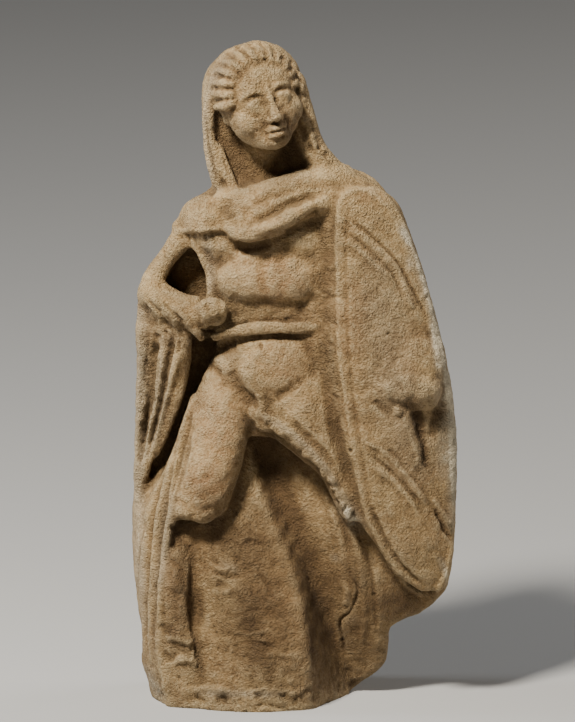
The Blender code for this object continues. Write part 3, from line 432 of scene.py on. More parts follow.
carved += [
    # Rim of the break, and the edge of its underside.
    (0.6, 1.5, (-2.4, 56.2), (1.4, 54.6), (4.2, 52), (7.2, 48.8), (9.8, 46.4), (12.2, 43.4)),
    (0.4, 1.7, (11.2, 45), (13.4, 41), (14.8, 38), (16.4, 35.8)),
    (-0.4, 0.8, (-4, 50.8), (-1, 52), (2, 51), (5, 47.8), (8.6, 45.6), (10.4, 42.6), (13, 38)),
    (-0.45, 1.3, (4, 55), (8, 51), (11.4, 47.6), (13.4, 45)),
    # Dark wedge over the shin and the smooth hollow beside it.
    (-0.5, 1.8, (-15.4, 30), (-17, 26.6)),
    (0.3, 1.4, (-19.4, 31), (-18.8, 25), (-17.8, 20), (-17.4, 14)),
    (-0.5, 1.3, (-20, 27), (-17.4, 24.4)),
    (0.4, 1.2, (-20.4, 22.6), (-17.6, 21)),
    (-0.4, 0.9, (-21, 30), (-21.6, 22), (-21.6, 14)),
    # Ledges at the foot of the shin, and the pit by the knee.
    (-0.5, 1.4, (-22.4, 13.6), (-19.4, 12.8)),
    (0.6, 1, (-21, 11.4), (-18, 11), (-15.4, 10)),
    (-0.45, 1.3, (-21.6, 8.6), (-20, 7.2), (-18.4, 7.6)),
    (0.6, 1.1, (-19.6, 6.6), (-16.6, 7), (-14.4, 5.6)),
    (-0.8, 0.8, (-20, 33.6), (-19.2, 33)),
    (-0.4, 1.4, (-12, 44), (-14, 42.6), (-16, 42.8)),
    (0.3, 1.4, (-9, 40.4), (-12, 38.6), (-16, 39)),
]
broken += [
    (1, 2.4, (-1, 54.6), (4, 51.6), (8, 47.6), (11, 45), (13.4, 41), (16.4, 35.6)),
    (0.8, 2.6, (-19.6, 35.4), (-14, 34.8), (-9, 36.6)),
    (0.5, 4.6, (-12.4, 42), (-14, 37.6)),
    (1, 4.4, (-18.6, 30), (-19, 20), (-18.6, 8)),
    (0.7, 3, (-16, 10), (-15, 4)),
]
ruddy += [(1, 7, (-9.4, 58), (-11, 48), (-13.6, 39)), (0.7, 4, (-18.6, 26), (-18.6, 14))]
# Soil with painted shade under the knee, down the shin and in its hollow, and under the break.
soil_and_shade_marks += [
    (0.9, 4, (-18, 32.6), (-13, 31.6), (-8, 33)), (0.95, 4.6, (-17, 29), (-18.6, 22), (-17.6, 12)),
    (0.6, 2.6, (-14.4, 20), (-14.2, 13)), (0.25, 4, (-15, 41), (-12, 38)),
    (0.9, 4, (-2, 49), (2, 48), (6, 44)), (0.4, 2.4, (0, 51), (8, 45), (12, 39)),
]
pale += [(0.8, 2.8, (14.8, 38), (17.2, 33.6)), (0.4, 1.2, (-1, 55.6), (5, 51.6), (10, 46.6), (14, 40))]
pitted += [(0.4, 6, (-11, 48), (-13, 40))]

# Right arm
# The bare arm is bent, with its fist on the hip. It was pressed in one with the body and the cloak, which
# closes the hollow inside it from behind.
ARM_RADIUS = 2.4
r = ARM_RADIUS
roll((-14.6, 94.2, -2, r + 1.2), (-17.6, 91, -2.4, r + 0.1), (-20.8, 86.9, -2.8, r - 0.4),
     (-23.6, 82.4, -3.2, r))
roll((-23.3, 80.2, -3.2, r + 1), (-20.6, 78, -4.6, r + 1.1), (-17.2, 76.6, -6.2, r + 0.8),
     (-13.4, 76, -7.8, r + 0.2))
ball(seen(-11.4, 76, -9.2), (3, 2.6, 2.6), (0, 20, 0))
# Clay behind the forearm and below it, which closes the hollow of the arm and joins it to the cloth.
roll((-23.2, 80.4, 0, r + 0.4), (-17.4, 77.6, -3, r + 0.2), (-11.6, 76.4, -5, r))
ball(seen(-13.4, 76, -1.4), (4.4, 3.4, 3.2))
board(6, (79.6, -25, -3.2, -14, -7.4, 1), (76, -25.2, -3.4, -15, -7.4, 1.2),
      (72.6, -25.3, -3, -16.4, -6.8, 1), (69, -25.3, -1.4, -17.6, -4.8, 0.6))
# The worn fist: three closed fingers and the thumb over them, with a fold of cloth below.
for across, lift, size in ((-13, -1, 0.9), (-11.2, 0, 1.05), (-9.5, 0.2, 0.8)):
    roll((across - 0.6, 78.2 + lift, -9.4, size * 0.9), (across + 0.1, 77.2 + lift, -10.8, size * 1.1),
         (across + 0.3, 75.6 + lift, -10.7, size), (across, 74.4 + lift, -9.2, size * 0.7), body=details)
roll((-15, 76.6, -8.8, 0.9), (-13, 78, -10.2, 1), (-10.8, 78.6, -10.6, 0.7), body=details)
roll((-16.6, 74.8, -7.8, 1.4), (-14.8, 72.8, -8, 1.3), (-13.6, 71.2, -7.4, 1.1))

carved += [
    (-0.7, 1.3, (-13.6, 74.6), (-12.2, 73.4), (-10, 74.8), (-7.4, 75.4)),
    (-0.7, 1.8, (-14, 70.6), (-12.4, 70.2), (-11, 71)),
    # Cloth drawn tight over the forearm.
    (0.35, 0.8, (-25.6, 79.6), (-23, 76.8), (-21.4, 73.6)),
    (-0.35, 0.6, (-24.8, 79.4), (-22, 76.2), (-20.4, 73.4)),
    (0.35, 0.8, (-23.4, 79), (-20, 76.2), (-18.6, 73.2)),
    (-0.3, 0.6, (-21.6, 78), (-18.6, 75.6), (-17.2, 72.8)),
    (0.3, 0.8, (-19.4, 77.4), (-17, 75.4), (-15.8, 73)),
]
broken += [(0.8, 2.6, (-13.6, 76), (-10, 76)), (0.9, 3, (-24.4, 78), (-20, 75.4), (-16.4, 73.6))]
pitted += [(0.5, 4, (-22, 88), (-24, 80))]

# Shield
# A long oval shield, a little convex, with a low rim, slanting ribs and a spindle boss whose top has
# broken away. It was pressed in the same mould and is tied to the cloak behind it.
SHIELD_EDGE = 1.5
board(
    5,
    (101.4, 16, -8.6, 20.8, -8, 0.6), (99.6, 14, -10, 23.4, -7.9, 0.9), (95, 13.4, -11.2, 26.4, -7.8, 1.1),
    (86, 13.2, -11.8, 30, -7.8, 1.4), (74, 13.4, -12.2, 33.4, -7.8, 1.6), (62, 14.4, -12.4, 36.1, -7.8, 1.7),
    (52, 15.8, -12.4, 37.2, -7.8, 1.7), (42, 17.4, -12.2, 37.2, -7.8, 1.6), (35, 19.8, -11.8, 37, -7.9, 1.4),
    (29, 22.8, -11.2, 36.6, -8, 1.1), (24, 26, -10.4, 36, -8, 0.8), (20.6, 30, -9, 34.4, -8, 0.3),
)
# The spindle boss, broken, with the tail of its spine.
ball(seen(27, 66.4, -7.6), (8.2, 4.6, 8.6), (-8, 0, 0))
ball(seen(26.6, 62.2, -10), (7, 3.6, 4.4), (-24, 6, 0))
ball(seen(30.4, 60.6, -10), (3.8, 4.2, 4), (-20, 0, 0))
roll((26.8, 58, -9.8, 2.6), (27.4, 54, -9.9, 2.3), (28.8, 49.6, -9.5, 1.8), (30.2, 43, -8.6, 1), flat=0.9)
ball(seen(25.4, 56.8, -11.8), (1.2, 1.1, 1.1), body=details)
# The clay behind it.
board(
    11,
    (100.6, 13, -5, 22.6, -4.4, 0), (97, 10.6, -7, 26, -4.4, 0), (84, 10.8, -8, 30.2, -4, 0),
    (70, 11, -8.6, 33.6, -4, 0), (56, 13, -8.8, 36.6, -4, 0), (44, 16, -9, 37, -4, 0),
    (36, 18, -8, 36.8, -4, 0), (28, 24, -6, 36.2, -4, 0), (21, 31, -4, 34.2, -3, 0),
)
# Its left side, seen almost edge on.
side = [(98, 10.4, -8.6), (84, 10.2, -9.8), (70, 10.2, -10.2), (60, 10.8, -10.6), (50, 13, -10.8),
        (42, 15, -10.8), (36, 17.2, -10.4), (30, 21, -9.8), (24.6, 25, -9)]
board(4, *[(up, across, depth, across + 2.4 * SHIELD_EDGE, depth - 1.2, 0.15) for up, across, depth in side])

carved += [
    # Upper and lower ribs.
    (0.34, 0.9, (14.6, 94.6), (16, 93.4), (19, 90.8), (21.6, 88.8), (25.4, 84.8), (27.6, 78.8), (30, 74.4)),
    (-0.34, 0.6, (15.4, 95.2), (18, 93.2), (21.4, 90.4), (24.8, 87), (27.4, 83), (29.6, 78.6), (32, 74)),
    (0.3, 0.8, (14.4, 90.8), (16.4, 89.6), (19.6, 87), (22.6, 83.8)),
    (-0.26, 0.5, (14.8, 92.4), (17.6, 90.4), (21, 87.4), (24.4, 83.8), (26, 80)),
    (0.42, 0.9, (18.6, 51), (23, 48.4), (26.6, 44.4), (29.6, 40.6), (31.4, 37)),
    (-0.45, 0.65, (20, 47.8), (22.6, 46), (26, 42.8), (30, 38.2)),
    (0.34, 0.8, (20.2, 45.8), (24.6, 42.6), (28, 38.6), (29.6, 36)),
    (0.4, 0.8, (32.4, 39.4), (34, 37), (36.4, 33.6)),
    (-0.7, 0.7, (33, 36.6), (34.4, 34), (36.4, 30.8)),
    # Rim, up its left side and over the top, and the groove within.
    (0.3, 0.8, (18, 40.6), (16.4, 50.8), (15, 60), (14, 66.8), (13.6, 74), (13.4, 84), (13.4, 92),
     (13.8, 97.6), (16, 100.2), (19, 100.4), (22, 98.6), (24.6, 95), (26.6, 90)),
    (0.75, 1.1, (33, 19.6), (29.4, 20.4), (26.4, 23.2), (23.6, 27.6), (21, 32.6), (19, 37), (17.8, 42)),
    (-0.75, 0.9, (30.8, 21.6), (28.2, 23.6), (25.6, 26.6), (22.8, 31), (20.4, 37)),
    (-0.2, 0.7, (20.4, 37), (18.6, 46), (17, 56), (15.8, 66), (15.2, 76), (15, 88), (15.4, 96), (18, 98.6)),
    (0.5, 0.8, (36.4, 30), (35.4, 25), (33.8, 21), (32.6, 19.4)),
    (0.3, 0.9, (31, 77), (33.4, 68), (35.2, 58)),
    # The meeting of the side with body and thigh, and a few deep pits.
    (-0.45, 1.7, (11.2, 92), (11, 82), (10.8, 74), (10.8, 66), (11.8, 58), (13.2, 51), (15.4, 44),
     (17.6, 38)),
    (-0.35, 0.9, (13.4, 57), (14, 52), (15.6, 46), (17.6, 39), (18.6, 36.4)),
    (-0.5, 0.6, (15.6, 48.8), (16.4, 48.8)),
    (-0.32, 0.6, (10.8, 84.8), (12, 84.2), (13.4, 84.8)),
    (-0.3, 0.6, (10.4, 80.2), (11.6, 80)),
    (-0.32, 0.55, (10.8, 79), (13, 79.4), (15.6, 79)),
    (-0.5, 0.5, (11.6, 70.2), (13, 69.6)),
    (-0.4, 0.55, (11, 66.4), (12.8, 66.6)),
    (-0.5, 0.45, (12.4, 74.4), (13.4, 73.6)),
    (-0.5, 0.5, (12.4, 60), (13.6, 59.2)),
    (-0.4, 0.45, (14.8, 94.4), (16.2, 93.2)),
    # Under the boss and beside its tail.
    (-0.5, 1.3, (20.4, 59), (22.4, 57.4), (24.4, 55.6)),
    (-0.6, 1.8, (34.2, 57.6), (33, 54.6), (32, 51)),
    (-0.8, 1.8, (29, 56.8), (30.2, 52.6)),
    (-0.7, 1.2, (29.8, 53.4), (30.8, 49.6), (31.2, 46)),
    (0.2, 0.7, (27, 54.4), (28.6, 50), (30.2, 45.4)),
]
broken += [
    (1, 4.6, (22, 62.4), (27, 61.4), (33, 61)), (0.9, 2.6, (28.4, 55), (30.6, 46)),
    (0.6, 2, (12, 86), (12, 70), (14.6, 50), (17, 40)), (0.5, 2.2, (22, 32), (28, 22)),
    (0.7, 1.6, (27, 93), (30.4, 85), (33.8, 73), (36.6, 58), (37.2, 46), (36.8, 32)),
    (0.3, 4, (26, 30), (30, 24)),
]
pitted += [(0.9, 2.4, (11.6, 90), (11.6, 70), (13.6, 54), (17, 38)), (0.35, 8, (20, 80), (24, 66), (26, 50))]
pale += [
    (0.7, 1, (26, 92.6), (27.8, 90)), (0.6, 1, (27.4, 87), (28, 85)), (0.65, 1, (32, 74), (33.6, 64)),
    (0.7, 1.2, (34.2, 26.8), (36.4, 21)), (1, 2.2, (27, 93), (30.4, 85), (34, 72), (36.8, 56), (37, 34)),
    (0.22, 8, (22, 84), (24, 66), (28, 46)), (0.5, 2.4, (34.2, 62), (34.8, 44)),
]
ruddy += [(0.4, 5, (15, 80), (16, 66))]
# Soil with painted shade down the shield's side and painted shadow under the boss.
soil_and_shade_marks += [
    (0.75, 2.2, (11.6, 94), (11.4, 72), (13.8, 50), (17.4, 37)), (1, 2.8, (28.4, 57.4), (29.8, 53)),
    (1, 1.8, (29.4, 54.6), (31.2, 46.6)),
    (0.4, 3, (26, 59), (31, 58)), (0.7, 2, (33.6, 57), (32.6, 52)),
]

# Drapery
# The cloak is gathered in a thick folded collar across the chest, covers the right shoulder as a cape and
# hangs in folds from the forearm. All of it is part of the same clay.
COLLAR_RADIUS = 2.7
r = COLLAR_RADIUS
ball(seen(14.5, 99.6, -2), (9, 7, 5.6), (0, 25, 0))
ball(seen(1, 99, -1.5), (13, 7.4, 5), (0, -6, 0))
roll((14, 103, -4.4, r + 0.4), (8, 101, -6.4, r + 1.2), (1.4, 99, -7.2, r + 1.5), (-4.4, 97.6, -6.8, r + 1.2),
     (-8.6, 98.2, -5.4, r + 0.2), flat=0.9)
roll((13.4, 100.4, -6, r), (8.6, 98.8, -7.6, r + 0.3), (3, 96.6, -8.8, r + 0.4), (-3.4, 94.8, -8.8, r + 0.2),
     (-7.6, 95, -7.6, r - 0.4), flat=0.95)
roll((13, 99, -6.8, r - 0.8), (9, 97.6, -8.8, r - 0.3), (4.6, 95.4, -10, r - 0.1), (0, 93.4, -10.6, r - 0.1),
     (-4, 92.2, -10.4, r - 0.2), (-7.2, 92.8, -9, r - 0.7))
ball(seen(-12.2, 95.1, -2), (5.8, 7.2, 4.8))
roll((-18.2, 93.6, -1.6, 1.6), (-14, 93.4, -5, 1.8), (-10, 93.4, -7.2, 1.8), (-7.6, 93.8, -8, 1.6))
roll((-15, 91, -3.8, 1.8), (-11.4, 90.4, -6.2, 2), (-8.6, 89.8, -7.2, 1.8))
roll((-15, 90.6, -4, 1.4), (-13.2, 87.4, -4.8, 1.1), (-12.1, 83.4, -5.2, 0.9), (-11.8, 78.8, -5.8, 1),
     flat=1.2)
# The cloak's edge behind the arm.
board(7, (93, -19, -1, -16.4, -1, 0), (87, -22, -1.8, -19, -1.4, 0), (82, -24.6, -2, -21.4, -1.4, 0),
      (76, -25.4, -2, -20, -2.4, 0))
# The folds that hang from the forearm and gather to a point at the cloak's left edge.
board(
    6,
    (78, -25.4, -1.8, -15, -6.2, 0), (72, -25.4, -1.4, -17, -5.4, 0), (66, -25.5, -0.9, -17.6, -4.2, 0),
    (58, -25.6, -0.8, -20.8, -2.8, 0), (49, -26, -0.6, -23.4, -1.8, 0), (42, -26.5, -0.4, -25.4, -1, 0),
    (37, -26.8, 0, -26.4, -0.4, 0),
)
roll((-24.2, 80, -2.4, 2.2), (-24.8, 73, -1.6, 2.1), (-25, 67, -1, 1.8), (-25.4, 58.8, -0.6, 1.6),
     (-26, 48.8, -0.4, 1.3), (-26.6, 39, 0, 1))
roll((-20.6, 78, -3.8, 2), (-21, 72, -3.4, 1.9), (-21.7, 66, -2.6, 1.8), (-23, 58.8, -1.6, 1.5),
     (-24.8, 48.8, -0.8, 1.2), (-26.4, 39, -0.2, 0.9))
roll((-17, 77, -5.2, 2.1), (-17.6, 70.6, -5, 2), (-18.6, 66, -4, 1.7), (-21.1, 58.8, -2.6, 1.4),
     (-23.6, 49.6, -1.4, 1.1), (-26, 40, -0.4, 0.8))
roll((-16.4, 70.4, -4.4, 1), (-16.9, 66.4, -3.8, 1.3), (-18.4, 60, -3, 1.3), (-20.8, 53, -2.2, 1.1),
     (-23, 47.4, -1.6, 0.7))
# The cloth that lies along the thigh and falls to the base.
board(
    8,
    (60, -15.6, -4.6, -11, -8, 0.2), (54, -17.6, -5, -12, -9.2, 0.5), (47, -20.2, -4.6, -14, -9.8, 0.8),
    (40, -23.8, -3.8, -16.6, -10.2, 1.2), (34, -26.8, -1.8, -19, -10.2, 1.4),
    (26, -26.8, -1.4, -21, -10.6, 1.4), (16, -25.8, -2, -22.2, -11.2, 1),
    (7, -25.4, -2.6, -22.4, -11.6, 0.8), (-3, -23.4, -3, -20.6, -11.4, 0.6),
)

# Small folds that fall from the cape's hem.
for across, depth, fall in ((-17.9, 0.26, 3), (-16.5, 0.2, 2.2), (-15.3, 0.22, 2.8), (-13.2, 0.14, 1.8),
                            (-11.6, 0.18, 2.6), (-9.4, 0.12, 1.6)):
    carved.append((-depth, 0.6, (across, 92), (across + 0.4, 92 - fall / 2), (across + 0.7, 92 - fall)))
carved += [
    # Cape's hem.
    (0.3, 0.8, (-19, 92.8), (-14, 92.6), (-9, 93.2)),
    (0.3, 1.6, (-17, 97), (-13, 98.4), (-10.4, 100.4)),
    (-0.2, 0.8, (-18.6, 91.4), (-13, 91.5), (-8.4, 91.8)),
    # Between the collar's folds, and the hollow under it.
    (-0.75, 1.3, (10, 99.8), (4.4, 97.9), (0.4, 95.8), (-3.6, 93.9)),
    (-0.25, 1.4, (14, 101.4), (9, 101.6), (3, 100), (-2, 98.6)),
    (-0.9, 1.1, (10.2, 96.6), (8.4, 95.2), (5.4, 93), (2.6, 91.6)),
    (-1.2, 1.7, (0.6, 90.6), (-2, 89.4), (-5, 89), (-7.6, 89.8)),
    (-0.6, 2, (-8.6, 99.2), (-8.4, 96.8), (-7.6, 94.6)),
    (0.45, 1.2, (-5, 92.2), (0, 93), (5, 95.6), (9.6, 98.4)),
    (0.3, 1.2, (-4, 96.2), (2, 98.4), (8, 101)),
    # Folds that hang from the forearm, and the creases between them.
    (0.4, 1, (-25.6, 76), (-25.8, 66.8), (-26.1, 58.8), (-26.6, 48.8), (-27, 39)),
    (0.45, 0.9, (-21.6, 71), (-21.6, 66.8), (-22.9, 58.8), (-24.8, 48.8), (-26.6, 39)),
    (0.45, 0.9, (-17.8, 70), (-18.6, 66.8), (-20.8, 58.8), (-23.4, 49.6), (-26, 40)),
    (-1.3, 1.1, (-22.6, 71.4), (-23.6, 66), (-24, 60), (-25, 54), (-25.8, 47)),
    (-1, 0.8, (-19.4, 71), (-20.4, 66), (-21.6, 59.6), (-23.4, 52), (-24.6, 48)),
    (-0.5, 0.6, (-24.2, 72), (-24.8, 64), (-24.8, 58), (-25.8, 50)),
    (-0.3, 0.6, (-25.4, 74), (-25.4, 66), (-25.8, 56)),
    (-0.35, 0.5, (-21.8, 70), (-22.6, 62), (-23.6, 55)),
    (-0.5, 0.7, (-18, 70.6), (-18.2, 68.2)),
    # Cloth along the thigh.
    (0.6, 1, (-14, 62), (-16.4, 56), (-18, 48.8), (-19.6, 38.8), (-21.6, 24), (-22.4, 8)),
    (0.6, 0.9, (-18.6, 50), (-21, 42), (-22.6, 34), (-23.6, 22), (-24, 6)),
    (-0.5, 0.55, (-15.4, 58), (-17.2, 50), (-19, 42), (-20.4, 36)),
    (-0.8, 0.8, (-20.2, 42), (-21.4, 35), (-22.6, 26), (-23.2, 12)),
    (-0.8, 0.8, (-21, 46), (-23, 38), (-24.2, 28), (-24.8, 16), (-25, 8)),
    (0.5, 0.9, (-23.6, 40), (-25.4, 30), (-25.8, 18), (-25.4, 8)),
    (-0.4, 0.6, (-24.4, 36), (-26.4, 26), (-26.6, 16)),
    (-0.3, 0.8, (-15.6, 55), (-16.6, 48), (-18.4, 41)),
]
broken += [
    (0.5, 3.4, (-24, 78), (-20, 75), (-17.6, 71)), (0.35, 2.4, (-25.4, 70), (-26, 50), (-26.6, 36)),
    (0.3, 2.6, (-22, 34), (-23.4, 18), (-24, 6)), (0.35, 3, (-18, 92), (-10, 91)),
    (0.6, 3, (-21, 72), (-22.4, 58), (-24.4, 46)), (0.5, 3, (-24.6, 72), (-25.6, 52)),
]
pale += [
    (0.5, 2.4, (-25.6, 76), (-26, 56), (-26.8, 36), (-26, 14)),
    (0.35, 2.4, (-21, 70), (-22, 58), (-24.4, 48)),
    (0.4, 1.6, (-12.6, 91), (-11.8, 84), (-11.8, 79)), (0.4, 2.4, (-20, 40), (-22.4, 20)),
]
pitted += [(0.4, 5, (4, 94), (10, 98)), (0.4, 5, (-22, 76), (-22, 60))]

# Head
# A calm, even face divided in thirds from hairline to brow to nose to chin. The head is turned to its
# left, thrown back a little and leans to its right, on a thick neck. Soft from the mould and worn.
HEAD_MIDDLE = (-2.5, 119.2, -4.6)
HEAD_TURN = (-8, -13, 20)
head_turn = Euler([math.radians(a) for a in HEAD_TURN]).to_matrix().to_4x4()
head_place = Matrix.Translation(seen(*HEAD_MIDDLE)) @ head_turn

roll((-1.2, 100, 1.4, 6.4), (-1.2, 107, 1.6, 5.6), (-1.6, 113, 0, 5.6))
# Clay in the hollow between the neck and the hair.
ball(seen(3.4, 104, -0.8), (4.2, 3.6, 5))


def feature(x, y, z, *radii, body=clay):
    """Adds a lump at a place on the upright head."""
    ball(head_place @ Vector((x, y, z)), radii, HEAD_TURN, body)


def ridge(*rows):
    """Adds a thin roll through places and radii on the upright head."""
    tube([(*(head_place @ Vector(row[:3])), row[3]) for row in rows], body=details)


feature(0, 0.6, 1.6, 8.4, 8.2, 8.4)
feature(0, -1.4, -2.6, 7.4, 6.8, 8)
feature(0, -2.8, 2.6, 6.8, 4.8, 5.2)
feature(0, -4.4, -8, 3.8, 3.1, 2.9)
ridge((0, -7.3, 1.6, 0.8), (0, -8, -0.8, 0.8), (0, -8.9, -3, 0.95), (0, -9.1, -4, 1.15))
ridge((-2.2, -7, -6.5, 0.4), (-0.7, -7.9, -6.2, 0.7), (0, -8, -6.3, 0.65), (0.7, -7.9, -6.2, 0.7),
      (2.2, -7, -6.5, 0.4))
ridge((-1.7, -7.1, -7.4, 0.45), (0, -7.8, -7.6, 0.8), (1.7, -7.1, -7.4, 0.45))
for side in (-1, 1):
    feature(side * 4, -4.7, -3.6, 3, 2.5, 3.2)
    feature(side * 2.9, -6.45, -0.8, 1.75, 1.3, 1.15, body=details)
    feature(side * 1.1, -8, -4.3, 0.85, 0.95, 0.75, body=details)
    ridge((side * 0.9, -7.3, 1.3, 0.5), (side * 2.9, -7, 1.9, 0.6), (side * 5, -5.6, 1.1, 0.5))
    ridge((side * 1.2, -6.9, -0.9, 0.24), (side * 2.2, -7.6, -0.05, 0.32), (side * 3.4, -7.5, 0.05, 0.34),
          (side * 4.8, -6.2, -0.8, 0.26))
    ridge((side * 1.5, -6.9, -1.3, 0.18), (side * 2.9, -7.4, -1.75, 0.24), (side * 4.5, -6.2, -1.15, 0.18))

# Marks in the face: strength, half width, then x and z on the upright head.
face_lines = []
for side in (-1, 1):
    face_lines += [
        (-0.2, 1, (side * 1.4, 0.2), (side * 2.4, 0.7), (side * 3.4, 0.8), (side * 4.6, 0.4)),
        (-0.35, 1, (side * 1.3, -0.3), (side * 1.2, -1.4)),
        (-0.2, 0.8, (side * 1.9, -2.4), (side * 3.2, -2.7), (side * 4.4, -2.3)),
        (-0.25, 0.9, (side * 1.9, -4.4), (side * 2.8, -5.6), (side * 3, -6.6)),
        (-0.3, 0.6, (side * 2.1, -6.7), (side * 2.7, -6.9)),
        (-0.3, 0.5, (side * 0.4, -5.1), (side * 0.9, -5)),
    ]
face_lines += [
    (-0.4, 0.45, (-1.9, -6.85), (-0.7, -6.85), (0, -6.95), (0.7, -6.85), (1.9, -6.85)),
    (-0.2, 0.6, (0, -5.2), (0, -5.8)),
    (-0.3, 1, (-1.2, -8.6), (0, -8.7), (1.2, -8.6)),
]

# Hair
# Short thick locks stand round the forehead, one form set again and again in a ring. Long hair falls
# behind the neck to the shoulders, with worn curls at its side.
LOCKS = 13
LOCK_RADIUS = 1.08
LOCK_REACH = 7.5
LOCKS_UP = 1.1
FIRST_LOCK = math.radians(-94)
LAST_LOCK = math.radians(92)
LOCK_SWAY = math.radians(9)


def node(tree, kind, inputs=(), **settings):
    """Adds a node. Each input is a plain value, or another node's output to link."""
    made = tree.nodes.new(kind)
    for name, value in settings.items():
        setattr(made, name, value)
    for socket, value in dict(inputs).items():
        if isinstance(value, bpy.types.NodeSocket):
            tree.links.new(value, made.inputs[socket])
        else:
            made.inputs[socket].default_value = value
    return made


def sums(tree, operation, *values):
    """The result of a Math node."""
    return node(tree, "ShaderNodeMath", enumerate(values), operation=operation).outputs[0]


def product(tree, first, *others):
    """All the values multiplied."""
    for value in others:
        first = sums(tree, "MULTIPLY", first, value)
    return first


def new_tree(name, **inputs):
    """A Geometry Nodes tree with named inputs, each given by its kind of socket."""
    tree = bpy.data.node_groups.new(name, "GeometryNodeTree")
    tree.interface.new_socket("Geometry", in_out="OUTPUT", socket_type="NodeSocketGeometry")
    tree.interface.new_socket("Geometry", in_out="INPUT", socket_type="NodeSocketGeometry")
    for label, kind in inputs.items():
        tree.interface.new_socket(label.replace("_", " "), in_out="INPUT", socket_type="NodeSocket" + kind)
    return tree, tree.nodes.new("NodeGroupInput").outputs


def ended(tree, geometry, material):
    """Ends a tree in Realize Instances and Set Material."""
    real = node(tree, "GeometryNodeRealizeInstances", {0: geometry})
    painted = node(tree, "GeometryNodeSetMaterial", {"Geometry": real.outputs[0], "Material": material})
    node(tree, "NodeGroupOutput", {0: painted.outputs[0]})


def placed(name, data):
    """A new object in the scene."""
    obj = bpy.data.objects.new(name, data)
    bpy.context.scene.collection.objects.link(obj)
    return obj


def evaluated(obj):
    """Replaces the object's mesh by the one that its modifiers make."""
    graph = bpy.context.evaluated_depsgraph_get()
    mesh = bpy.data.meshes.new_from_object(obj.evaluated_get(graph))
    obj.modifiers.clear()
    obj.data = mesh


def put_through(obj, tree, **values):
    """Runs the object's mesh through a tree, with values for the tree's named inputs."""
    through = obj.modifiers.new(tree.name, "NODES")
    through.node_group = tree
    sockets = {item.name: item.identifier for item in tree.interface.items_tree if item.in_out == "INPUT"}
    for label, value in values.items():
        through[sockets[label.replace("_", " ")]] = value
    evaluated(obj)


terracotta = bpy.data.materials.new("terracotta")

tree, given = new_tree("ring of locks", Locks="Int", First="Float", Last="Float", Reach="Float", Sway="Float",
                       Material="Material")
index = node(tree, "GeometryNodeInputIndex").outputs[0]
share = sums(tree, "DIVIDE", index, sums(tree, "SUBTRACT", given["Locks"], 1))
sweep = sums(tree, "SUBTRACT", given["Last"], given["First"])
angle = sums(tree, "MULTIPLY_ADD", share, sweep, given["First"])
narrow = sums(tree, "MULTIPLY_ADD", sums(tree, "LESS_THAN", angle, 0), 0.08, 0.9)
sideways = product(tree, sums(tree, "SINE", angle), given["Reach"], narrow)
upward = product(tree, sums(tree, "COSINE", angle), given["Reach"])
forward = product(tree, sums(tree, "COSINE", angle), -0.6)
spot = node(tree, "ShaderNodeCombineXYZ", {0: sideways, 1: forward, 2: upward})
spots = node(tree, "GeometryNodePoints", {"Count": given["Locks"], "Position": spot.outputs[0]})
swing = sums(tree, "MULTIPLY_ADD", sums(tree, "FLOORED_MODULO", index, 2), 2, -1)
lean = sums(tree, "MULTIPLY_ADD", swing, given["Sway"], angle)
tilt = node(tree, "ShaderNodeCombineXYZ", {1: lean})
turn = node(tree, "FunctionNodeEulerToRotation", {0: tilt.outputs[0]})
locks = node(tree, "GeometryNodeInstanceOnPoints",
             {"Points": spots.outputs[0], "Instance": given["Geometry"], "Rotation": turn.outputs[0]})
ended(tree, locks.outputs[0], given["Material"])

one_lock = bmesh.new()
tube([(0, depth, out - LOCK_REACH, radius * LOCK_RADIUS)
      for out, depth, radius in ((7, -4.6, 0.7), (7.6, -3.7, 1), (8.1, -2.3, 0.95), (8.8, 0.6, 0.65))],
     body=one_lock)
lock = placed("lock", bpy.data.meshes.new("lock"))
one_lock.to_mesh(lock.data)
one_lock.free()
put_through(lock, tree, Locks=LOCKS, First=FIRST_LOCK, Last=LAST_LOCK, Reach=LOCK_REACH, Sway=LOCK_SWAY,
            Material=terracotta)
lock.data.transform(head_place @ Matrix.Translation((0, 0, LOCKS_UP)))
details.from_mesh(lock.data)
bpy.data.objects.remove(lock)


def as_drawn(places):
    """Across and up of every place, as a viewer in front sees it."""
    up = places[:, 2] * math.cos(VIEW_TILT) + places[:, 1] * math.sin(VIEW_TILT)
    return np.column_stack([places[:, 0], up])


# The grooves between the locks run on over the crown.
for gap in range(LOCKS - 1):
    angle = FIRST_LOCK + (LAST_LOCK - FIRST_LOCK) * (gap + 0.5) / (LOCKS - 1)
    groove = [head_place @ Vector((out * math.sin(angle) * 0.94, depth, LOCKS_UP + out * math.cos(angle)))
              for out, depth in ((7.2, -5), (8.6, -2.6), (10.4, 1))]
    carved.append((-0.2 - 0.14 * (gap % 3), 0.7, *as_drawn(np.array(groove)).tolist()))

# The hair behind the neck, and what falls on both sides of it.
board(9, (124, -9.6, -2, 4, -2, 0), (118, -11.8, -2.4, 6, -2.2, 0), (110, -11.8, -2.4, 8, -2.4, 0),
      (104, -10.4, -3, 12, -3, 0), (100, -10.4, -4.4, 14, -3.4, 0))
roll((5.6, 113, -1, 2), (6, 108, -1.6, 2.2), (5.4, 103.6, -3, 2.4))
roll((-10.6, 123.4, -2.6, 1.4), (-12.2, 116, -3, 1.3), (-12, 109, -3.4, 1.3), (-10.6, 102, -3.8, 1.2))
roll((-10, 109.4, -3.8, 0.9), (-8.8, 105, -4.4, 1.1), (-7.4, 101.4, -5.2, 1.1))
roll((4.6, 122, -2.4, 2.6), (6.4, 115, -2.8, 2.6), (8.4, 109, -3, 2.8), (11.6, 104.6, -3.2, 2.8))
# A curl over the right ear.
roll((-8.8, 119.4, -5.6, 1.3), (-8, 116.8, -6.6, 1.6), (-8.2, 114.6, -6.2, 1.2), body=details)

